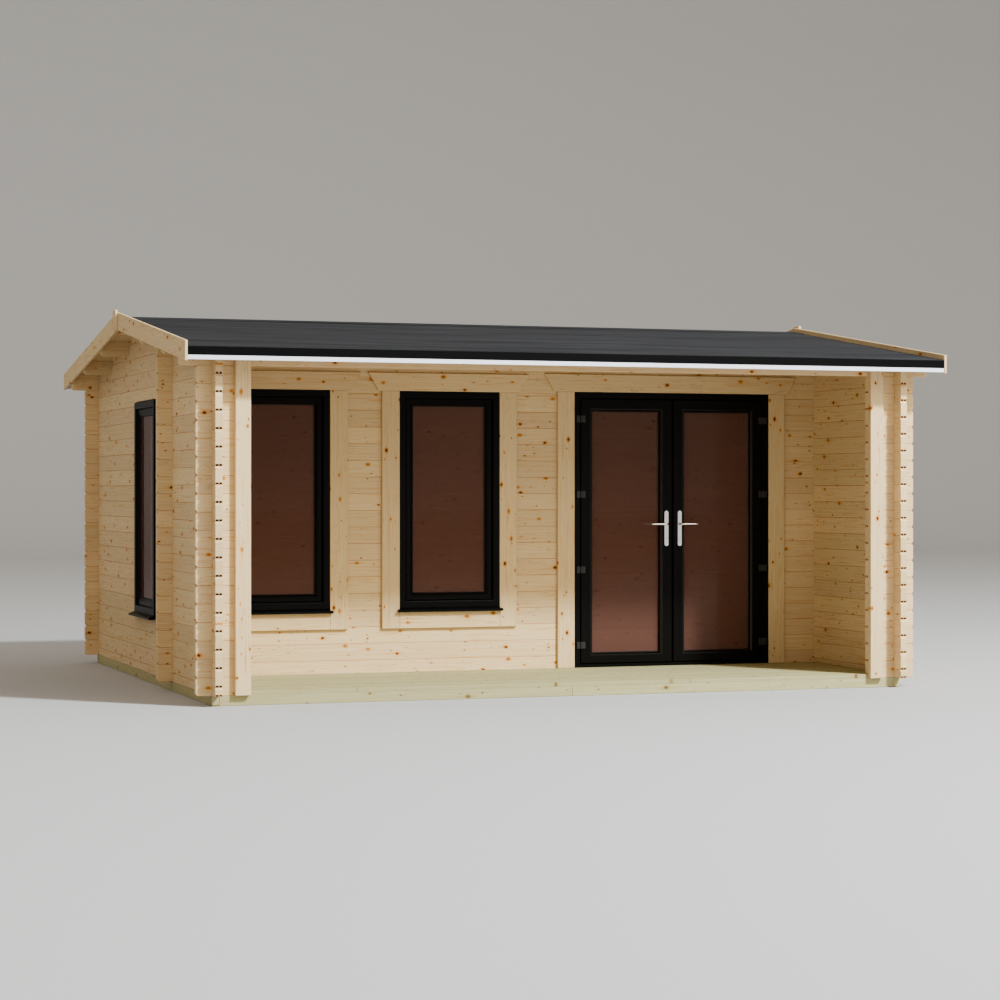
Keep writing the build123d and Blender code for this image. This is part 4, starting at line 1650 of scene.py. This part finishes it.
@dataclass
class Joinery:
    """Posts and the planed casings round the front windows and the doors."""

    sizes: CabinSizes
    finishes: Finishes
    width: float = 122 * MM
    thickness: float = 20 * MM
    header_height: float = 120 * MM
    header_overlap: float = 26 * MM
    header_splay: float = 66 * MM
    apron: float = 110 * MM
    arris: float = 2.5 * MM
    post_arris: float = 3 * MM

    def build(self) -> None:
        """Build the posts and the casings."""
        s = self.sizes
        windows = Workpiece()
        for centre in s.window_centres:
            top = s.window_middle + s.window_height / 2
            sill = s.window_middle - s.window_height / 2 - s.sill_height
            bottom = sill - self.apron
            self._sides(windows, centre, s.window_width, bottom, top)
            half = s.window_width / 2
            self._board(windows, rectangle(centre - half, bottom, centre + half, sill - s.fit))
            self._header(windows, centre, s.window_width, top + s.fit)
        self._finish(windows, "window_casings", "window_trims", 51)

        doors = Workpiece()
        top = s.bearer + s.door_step + s.door_height
        self._sides(doors, s.door_centre, s.door_width, s.deck_top, top)
        self._header(doors, s.door_centre, s.door_width, top + s.fit)
        self._finish(doors, "door_casings", "door_trims", 52)

        for node, seed in (("left_post", 53), ("right_post", 54)):
            low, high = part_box(node)
            post = Workpiece()
            post.box(low, high, self.post_arris, 2)
            self._finish(post, f"{node}_planed", node, seed)

    def _board(self, boards: Workpiece, outline: Sequence[Point]) -> None:
        """One board on the face of the glazed wall."""
        face = self.sizes.glazed_face
        boards.prism(outline, Plane.FACE, face - self.thickness, face, self.arris)

    def _sides(self, boards: Workpiece, centre: float, width: float, bottom: float, top: float) -> None:
        """The upright boards at both sides of an opening.

        Args:
            boards: The boards that they join.
            centre: Middle of the opening.
            width: Its width.
            bottom: Height of their lower ends.
            top: Height of their upper ends.
        """
        for side in (-1, 1):
            inner = centre + side * (width / 2 + self.sizes.fit)
            outer = inner + side * self.width
            self._board(boards, rectangle(min(inner, outer), bottom, max(inner, outer), top))

    def _header(self, boards: Workpiece, centre: float, width: float, bottom: float) -> None:
        """The splayed board over an opening.

        Args:
            boards: The boards that it joins.
            centre: Middle of the opening.
            width: Its width.
            bottom: Height of its lower edge.
        """
        short = width / 2 + self.width + self.header_overlap
        long = short + self.header_splay
        top = bottom + self.header_height
        self._board(boards, [(centre - short, bottom), (centre + short, bottom), (centre + long, top),
                             (centre - long, top)])

    def _finish(self, boards: Workpiece, name: str, node: str, seed: int) -> None:
        """Dress the boards of one node.

        Args:
            boards: The boards.
            name: The piece's name.
            node: The plain node that it stands for.
            seed: Start of the random draws.
        """
        piece = boards.finished(name)
        lay_grain(piece, seed)
        dress(piece, self.finishes.spruce, [node])


# Windows and doors of plastic profile


def mitre(
    work: Workpiece, outer: Rect, inner: Rect, section: Sequence[Point], front: float,
    plane: Plane = Plane.FACE,
) -> None:
    """Mitre a profile round an opening.

    Args:
        work: The solids that it joins.
        outer: The rectangle along its outer edge.
        inner: The rectangle along its inner edge.
        section: Outline of (inset, depth behind the front face) in millimetres.
        front: Depth of the front face.
        plane: The plane that the opening is drawn in.
    """
    width = max(inset for inset, _ in section)
    work.ring(outer, inner, [(inset / width, front + depth * MM) for inset, depth in section], plane)


def seal_glass(daylight: Rect, inside: float, front: float, plane: Plane = Plane.FACE) -> Workpiece:
    """Rubber strips that hold the glass from the front and from inside.

    Args:
        daylight: The clear opening of the glass.
        inside: How deep the inner strip reaches, in millimetres.
        front: Depth of the frame's front face.
        plane: The plane that the opening is drawn in.

    Returns:
        The strips.
    """
    seals = Workpiece()
    for near, far in ((26, 29.9), (54.1, inside)):
        mitre(seals, grown(daylight, 1 * MM), grown(daylight, -3.5 * MM),
              [(0, near), (1, near + 0.5), (1, far), (0, far)], front, plane)
    return seals


@dataclass
class PlasticWindow:
    """A fixed window of black plastic profile: frame, recessed sash, beads, gaskets and sill.

    Attributes:
        name: The plain node that it stands for, and the start of its pieces' names.
        plane: The plane that it faces out of.
        centre: Its middle across the wall.
        middle: Its middle height, without the sill.
        front: Depth of the frame's front face.
        joint: Gap between one profile and the next.
        trim: Thickness of the boards that the sill's horns stop short of.
        sill_cap: Thickness of the caps on the sill's ends.
    """

    name: str
    plane: Plane
    centre: float
    middle: float
    front: float
    sizes: CabinSizes
    frame_face: float = 50 * MM
    sash_face: float = 47 * MM
    sash_recess: float = 16 * MM
    bead_face: float = 18 * MM
    joint: float = 0.6 * MM
    sill_projection: float = 36 * MM
    sill_horn: float = 15 * MM
    sill_cap: float = 0.8 * MM
    trim: float = 20 * MM

    def build(self, finishes: Finishes) -> None:
        """Build the frame with its sash, and the gaskets that hold the glass.

        Args:
            finishes: Every finish of the cabin.
        """
        s = self.sizes
        half_width = s.window_width / 2
        half_height = s.window_height / 2
        outer = (self.centre - half_width, self.middle - half_height,
                 self.centre + half_width, self.middle + half_height)
        sash = grown(outer, -self.frame_face)
        bead = grown(sash, -(self.sash_face - self.bead_face))
        daylight = grown(sash, -self.sash_face)
        recess = self.sash_recess / MM
        work = Workpiece()
        for around, within, section in (
            (outer, sash, [(0, 1), (1.5, 0), (40, 0), (44, 2), (49, 13), (50, 15), (50, 70), (0, 70)]),
            (grown(sash, -self.joint), bead,
             [(0, recess + 1.5), (1.5, recess), (27, recess), (28.4, recess + 1), (28.4, 68), (0, 68)]),
            (grown(bead, -self.joint), daylight,
             [(0, recess + 1), (1, recess + 0.4), (5, recess + 0.4), (16, recess + 9), (17.4, recess + 12),
              (17.4, 29.6), (0, 29.6)]),
            (grown(bead, -self.joint), daylight, [(0, 54.6), (17.4, 54.6), (17.4, 60), (14, 65), (0, 68)]),
        ):
            mitre(work, around, within, section, self.front, self.plane)
        self._sill(work)
        dress(work.finished(f"{self.name}_profile"), finishes.profile, [self.name])
        seals = seal_glass(daylight, 58, self.front, self.plane)
        dress(seals.finished(f"{self.name}_gaskets"), finishes.gasket)

    def _sill(self, work: Workpiece) -> None:
        """The sloping sill under the frame, with a horn past each side and its end caps.

        Args:
            work: The solids that it joins.
        """
        s = self.sizes
        top = self.middle - s.window_height / 2
        low = top - s.sill_height
        nose = top - s.sill_height / 2
        tip = self.front - self.sill_projection
        wall = self.front + s.frame_proud - self.trim
        back = self.front + s.frame_depth
        half = s.window_width / 2
        horn = half + self.sill_horn
        along = Plane.END if self.plane is Plane.FACE else Plane.FACE
        main = [(tip, low), (tip + 1 * MM, low - 0.4 * MM), (back, low), (back, top), (self.front, top),
                (tip, nose)]
        work.prism(main, along, self.centre - half, self.centre + half)
        skin = self.sill_cap
        block = [(tip, low), (wall, low), (wall, nose + 3 * MM), (tip, nose)]
        cap = [(tip - skin, low - skin), (wall, low - skin), (wall, nose + 4 * MM),
               (tip - skin, nose + skin)]
        for side in (-1, 1):
            for outline, start, stop, arris in (
                (block, half + 0.3 * MM, horn, 0.8 * MM), (cap, horn - 3 * MM, horn + skin, 0.5 * MM)
            ):
                near, far = sorted((self.centre + side * start, self.centre + side * stop))
                work.prism(outline, along, near, far, arris)


def soften(node: str, finish: Finish, radius: float) -> None:
    """Finish a plain node whose shape is right, with its sharp edges rounded.

    Args:
        node: The node.
        finish: Its finish.
        radius: Width of the rounded edges.
    """
    piece = bpy.data.objects[node]
    coat(piece, finish)
    bevel = piece.modifiers.new("rounded", "BEVEL")
    bevel.width = radius
    bevel.segments = 3
    bevel.limit_method = "ANGLE"
    bevel.angle_limit = math.radians(50)


@dataclass
class FrenchDoors:
    """Door frame and two outward opening leaves of black plastic profile with their furniture.

    Attributes:
        joint: Gap between one profile and the next.
        lever_drop: How far the levers are below the top of their plates.
        cylinder_drop: How far the lock cylinders are below the levers.
        lever_stand: How far the levers' arms stand off the leaf's faces.
        lever_bend: Radius of the bend from a lever's neck to its arm.
        neck_radii: A lever's half thickness at the leaf and before the bend.
        arm_radii: Half width and half height of the arm at its root.
        arm_taper: How much thinner the arm becomes.
        arm_tip: Shares of the arm's length where it is drawn, with how far its end is rounded in there.
    """

    sizes: CabinSizes
    finishes: Finishes
    jamb: float = 44 * MM
    threshold: float = 22 * MM
    leaf_depth: float = 60 * MM
    stile: float = 87 * MM
    top_rail: float = 80 * MM
    bottom_rail: float = 70 * MM
    bead_face: float = 18 * MM
    lip: float = 14 * MM
    joint: float = 0.6 * MM
    hinge_rounding: float = 2.5 * MM
    plate_rounding: float = 2 * MM
    plate_thickness: float = 9 * MM
    lever_drop: float = 92 * MM
    cylinder_drop: float = 96 * MM
    cylinder_radius: float = 8.5 * MM
    cylinder_tail: Point = (5 * MM, 20 * MM)
    keyway: Point = (1.2 * MM, 4 * MM)
    lever_reach: float = 125 * MM
    lever_stand: float = 46 * MM
    lever_bend: float = 16 * MM
    neck_radii: Point = (8.6 * MM, 8.2 * MM)
    bend_radii: Point = (7.6 * MM, 8.2 * MM)
    arm_radii: Point = (6.6 * MM, 8.4 * MM)
    arm_taper: float = 0.35
    arm_tip: tuple[Point, ...] = ((0.25, 1), (0.5, 1), (0.75, 1), (0.92, 1), (0.98, 0.75), (1.0, 0.35))

    def build(self) -> None:
        """Build the frame, then each leaf."""
        self._frame()
        for side, word in ((-1, "left"), (1, "right")):
            self._leaf(word, side)
            self._handles(word, side)
        soften("frame_hinges", self.finishes.hinge, self.hinge_rounding)

    def _rect(self, node: str) -> Rect:
        """The outline of a node on the wall's face."""
        low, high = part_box(node)
        return low.x, low.z, high.x, high.z

    def _frame(self) -> None:
        """Jambs, head and threshold with the lip that the leaves close against."""
        front = self.sizes.frame_front
        low_x, low_z, high_x, high_z = outer = self._rect("door_frame")
        opening = (low_x + self.jamb, low_z + self.threshold, high_x - self.jamb, high_z - self.jamb)
        lip_edge = grown(opening, -self.lip)
        work = Workpiece()
        mitre(work, outer, opening,
              [(0, 1), (1.5, 0), (40, 0), (43, 3), (44, 6), (44, 65.2), (0, 70)], front)
        mitre(work, grown(opening, 3 * MM), lip_edge,
              [(0, 65), (15, 65), (17, 67), (17, 70), (0, 70)], front)
        dress(work.finished("door_frame_profile"), self.finishes.profile, ["door_frame"])
        seal = Workpiece()
        mitre(seal, grown(lip_edge, 6 * MM), grown(lip_edge, 0.5 * MM),
              [(0, 62), (0.4, 61), (1, 62), (1, 65.2), (0, 65.2)], front)
        dress(seal.finished("door_frame_gasket"), self.finishes.gasket)

    def _leaf(self, word: str, side: int) -> None:
        """One leaf: mitred rails and stiles, beads, gaskets and its share of the hinges.

        Args:
            word: "left" or "right".
            side: -1 for the left leaf, 1 for the right one.
        """
        body = f"{word}_leaf"
        front = self.sizes.frame_front
        low_x, low_z, high_x, high_z = outer = self._rect(f"{word}_door_leaf")
        daylight = (low_x + self.stile, low_z + self.bottom_rail, high_x - self.stile,
                    high_z - self.top_rail)
        bead = grown(daylight, self.bead_face)
        work = Workpiece()
        mitre(work, outer, bead, [(0, 1.5), (1.5, 0), (67, 0), (68.4, 1.4), (68.4, 58.6), (67, 60),
                                  (1.5, 60), (0, 58.5)], front)
        dress(work.finished(f"{word}_door_profile"), self.finishes.profile, [f"{word}_door_leaf"], body)
        beads = Workpiece()
        for section in (
            [(0, 1), (1, 0.6), (5, 0.6), (15, 12), (17.4, 20), (17.4, 29.6), (0, 29.6)],
            [(0, 54.6), (17.4, 54.6), (17.4, 56), (14, 58.5), (0, 59.4)],
        ):
            mitre(beads, grown(bead, -self.joint), daylight, section, front)
        dress(beads.finished(f"{word}_door_beads"), self.finishes.bead, body=body)
        seals = seal_glass(daylight, 57, front)
        dress(seals.finished(f"{word}_door_gaskets"), self.finishes.gasket, body=body)
        if side < 0:
            # The left leaf carries the strip that the right one closes against
            strip = Workpiece()
            strip.box((high_x - 1 * MM, front + 24 * MM, low_z + 4 * MM),
                      (high_x + 7 * MM, front + 30 * MM, high_z - 4 * MM), 1 * MM)
            dress(strip.finished("meeting_seal"), self.finishes.gasket, body=body)
        soften(f"{word}_leaf_hinges", self.finishes.hinge, self.hinge_rounding)

    def _handles(self, word: str, side: int) -> None:
        """Plates with rounded edges, keyways below, and tapering levers on both faces.

        Args:
            word: "left" or "right".
            side: -1 for the left leaf, 1 for the right one.
        """
        body = f"{word}_leaf"
        front = self.sizes.frame_front
        faces = ((front, -1), (front + self.leaf_depth, 1))
        low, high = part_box(f"{word}_handle_plates")
        x = (low.x + high.x) / 2
        lever_z = high.z - self.lever_drop
        cylinder_z = lever_z - self.cylinder_drop
        soften(f"{word}_handle_plates", self.finishes.chrome, self.plate_rounding)
        half_width, half_height = self.keyway
        slot = rectangle(x - half_width, cylinder_z - half_height, x + half_width, cylinder_z + half_height)
        barrels = Workpiece()
        keyways = Workpiece()
        for face, way in faces:
            for work, outline, start, stop, arris in (
                (barrels, self._euro_outline(x, cylinder_z), -1 * MM, 3 * MM, 0.5 * MM),
                (keyways, slot, 2.9 * MM, 3.3 * MM, 0.0),
            ):
                plate = face + way * self.plate_thickness
                near, far = sorted((plate + way * start, plate + way * stop))
                work.prism(outline, Plane.FACE, near, far, arris)
        dress(barrels.finished(f"{word}_lock_cylinder"), self.finishes.chrome, body=body)
        dress(keyways.finished(f"{word}_keyways"), self.finishes.keyway, body=body)

        levers = Workpiece()
        for face, way in faces:
            self._lever(levers, x, face, lever_z, side, way)
        piece = levers.finished(f"{word}_lever_handles")
        for polygon in piece.data.polygons:
            polygon.use_smooth = True
        dress(piece, self.finishes.chrome, [f"{word}_lever"], f"{word}_lever_set")

    def _lever(self, work: Workpiece, x: float, face: float, z: float, side: int, way: int) -> None:
        """Sweep one lever from the leaf round its bend to its tip.

        Args:
            work: The solids that it joins.
            x: Place of its neck across the leaf.
            face: Depth of the leaf's face.
            z: Its height.
            side: -1 where the arm points left, 1 where it points right.
            way: -1 where the neck comes forwards, 1 where it goes inwards.
        """
        out = face + way * self.lever_stand
        bend = self.lever_bend
        path = [Vector((x, face + way * 0.5 * MM, z)), Vector((x, out - way * bend, z))]
        sizes = [(radius, radius) for radius in self.neck_radii]
        for step in range(1, 7):
            turn = math.radians(15 * step)
            path.append(Vector((
                x + side * bend * (1 - math.cos(turn)), out - way * bend * (1 - math.sin(turn)), z
            )))
            sizes.append(self.bend_radii)
        half_width, half_height = self.arm_radii
        for share, tip in self.arm_tip:
            path.append(Vector((x + side * (bend + (self.lever_reach - bend) * share), out, z)))
            thinner = (1 - self.arm_taper * share) * tip
            sizes.append((half_width * thinner, half_height * thinner))
        work.sweep(path, sizes)

    def _euro_outline(self, x: float, z: float) -> list[Point]:
        """Outline of a euro lock cylinder: a round with a narrower tail below.

        Args:
            x: Place of its middle across the leaf.
            z: Height of its middle.

        Returns:
            The corners in order.
        """
        radius = self.cylinder_radius
        tail, drop = self.cylinder_tail
        start = math.asin(tail / radius)
        steps = 16
        outline = []
        for i in range(steps + 1):
            turn = -math.pi / 2 + start + (2 * math.pi - 2 * start) * i / steps
            outline.append((x + radius * math.cos(turn), z + radius * math.sin(turn)))
        return outline + [(x - tail, z - drop), (x + tail, z - drop)]


def glaze(finishes: Finishes) -> None:
    """Finish the glass units, whose shape is right already."""
    for node in ("window_glass", "left_door_glass", "right_door_glass"):
        coat(bpy.data.objects[node], finishes.glass)


# Studio


@dataclass(frozen=True)
class SoftLight:
    """A round soft light: its place, its width, its power in watts and its colour."""

    name: str
    place: Place
    size: float
    power: float
    colour: str

    def switch_on(self, target: Place) -> None:
        """Put the light up and aim it at a target.

        Args:
            target: Where it points.
        """
        data = bpy.data.lights.new(self.name, "AREA")
        data.shape = "DISK"
        data.size = self.size
        data.energy = self.power
        data.color = linear(self.colour)[:3]
        light = bpy.data.objects.new(self.name, data)
        bpy.context.scene.collection.objects.link(light)
        light.location = self.place
        light.rotation_euler = (Vector(target) - Vector(self.place)).to_track_quat("-Z", "Y").to_euler()


@dataclass
class Studio:
    """Pale floor, soft lights and the camera at the photograph's angle.

    Attributes:
        heading: How far the camera looks to the right of straight back, in degrees.
        horizon_shift: Shift that keeps the uprights upright, as a share of the picture's width.
        dim_air: Strength of the air away from its bright side.
        bright_air: Strength of the air on its bright side.
        sweep_start: Where the floor begins to curve up into the backdrop.
    """

    heading: float = 18.932
    camera_place: Place = (-5.482, -16.585, 1.289)
    focal_length: float = 89.12
    sensor_width: float = 36.0
    horizon_shift: float = -0.00897
    floor_reach: float = 120.0
    floor_colour: str = "#B6B6B4"
    air_colour: str = "#FFF6EC"
    bright_side: Place = (0.55, -0.8, 0.2)
    dim_air: float = 0.5
    bright_air: float = 0.85
    sweep_start: float = 32.0
    sweep_radius: float = 14.0
    sweep_height: float = 40.0
    target: Place = (0.0, -0.6, 1.0)
    lights: tuple[SoftLight, ...] = (
        SoftLight("key_light", (9.9, -15.3, 16.6), 1.9, 8800.0, "#ECF6FF"),
        SoftLight("front_soft_box", (9.3, -15.4, 11.0), 9.0, 1000.0, "#FFEFDA"),
    )

    def build(self) -> None:
        """Set up the floor, the lights and the camera."""
        view = bpy.context.scene.view_settings
        view.view_transform = "AgX"
        view.look = "AgX - Medium High Contrast"
        self._air()
        self._ground()
        for light in self.lights:
            light.switch_on(self.target)
        self._camera()

    def _air(self) -> None:
        """Air that is brighter on the side that the lights are on."""
        world = bpy.data.worlds.new("studio_air")
        bpy.context.scene.world = world
        world.use_nodes = True
        tree = world.node_tree
        direction = add_node(tree, "ShaderNodeTexCoord").outputs["Generated"]
        facing = add_node(
            tree, "ShaderNodeVectorMath", {0: direction, 1: Vector(self.bright_side).normalized()},
            operation="DOT_PRODUCT",
        )
        strength = add_node(
            tree, "ShaderNodeMapRange",
            {"Value": facing.outputs["Value"], "From Min": -1.0, "To Min": self.dim_air,
             "To Max": self.bright_air},
        )
        background = tree.nodes["Background"]
        background.inputs["Color"].default_value = linear(self.air_colour)
        tree.links.new(strength.outputs[0], background.inputs["Strength"])

    def _ground(self) -> None:
        """The floor, and the sweep that it curves up into far behind."""
        reach = self.floor_reach
        floor = Workpiece()
        floor.box((-reach, -reach, -0.05), (reach, reach, -0.0005))
        steps = 48
        start, radius = self.sweep_start, self.sweep_radius
        far = start + radius
        angles = [math.pi / 2 * i / steps for i in range(steps + 1)]
        curve = [(start + radius * math.sin(a), radius - radius * math.cos(a) - 0.0006) for a in angles]
        back = [(far, self.sweep_height), (far + radius, self.sweep_height),
                (far + radius, -0.04), (start, -0.04)]
        sweep = Workpiece()
        sweep.prism(curve + back, Plane.END, -reach, reach)
        paint = PlainFinish("painted_studio_floor", "", self.floor_colour, 0.85).material()
        for work, name in ((floor, "studio_floor"), (sweep, "studio_sweep")):
            ground = work.finished(name)
            ground.data.materials.append(paint)

    def _camera(self) -> None:
        """The camera, which looks level."""
        data = bpy.data.cameras.new("camera")
        camera = bpy.data.objects.new("camera", data)
        bpy.context.scene.collection.objects.link(camera)
        camera.location = self.camera_place
        camera.rotation_euler = (math.radians(90), 0, math.radians(-self.heading))
        data.lens = self.focal_length
        data.sensor_width = self.sensor_width
        data.shift_y = self.horizon_shift
        data.clip_end = 500.0
        bpy.context.scene.camera = camera


def main() -> None:
    """Build the cabin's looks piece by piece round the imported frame."""
    logging.basicConfig(level=logging.INFO, format="%(message)s")
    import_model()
    sizes = CabinSizes()
    finishes = Finishes()
    Foundation(sizes, finishes).build()
    Walls(sizes, finishes).build()
    Roof(sizes, finishes).build()
    Joinery(sizes, finishes).build()
    side_front = -(sizes.side_x + sizes.log / 2 + sizes.frame_proud)
    left, middle = sizes.window_centres
    for name, plane, centre, height, front in (
        ("front_left_window", Plane.FACE, left, sizes.window_middle, sizes.frame_front),
        ("front_middle_window", Plane.FACE, middle, sizes.window_middle, sizes.frame_front),
        ("side_window", Plane.END, sizes.side_window_y, sizes.side_window_middle, side_front),
    ):
        PlasticWindow(name, plane, centre, height, front, sizes).build(finishes)
    glaze(finishes)
    FrenchDoors(sizes, finishes).build()
    Studio().build()
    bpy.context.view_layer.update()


if __name__ == "__main__":
    main()
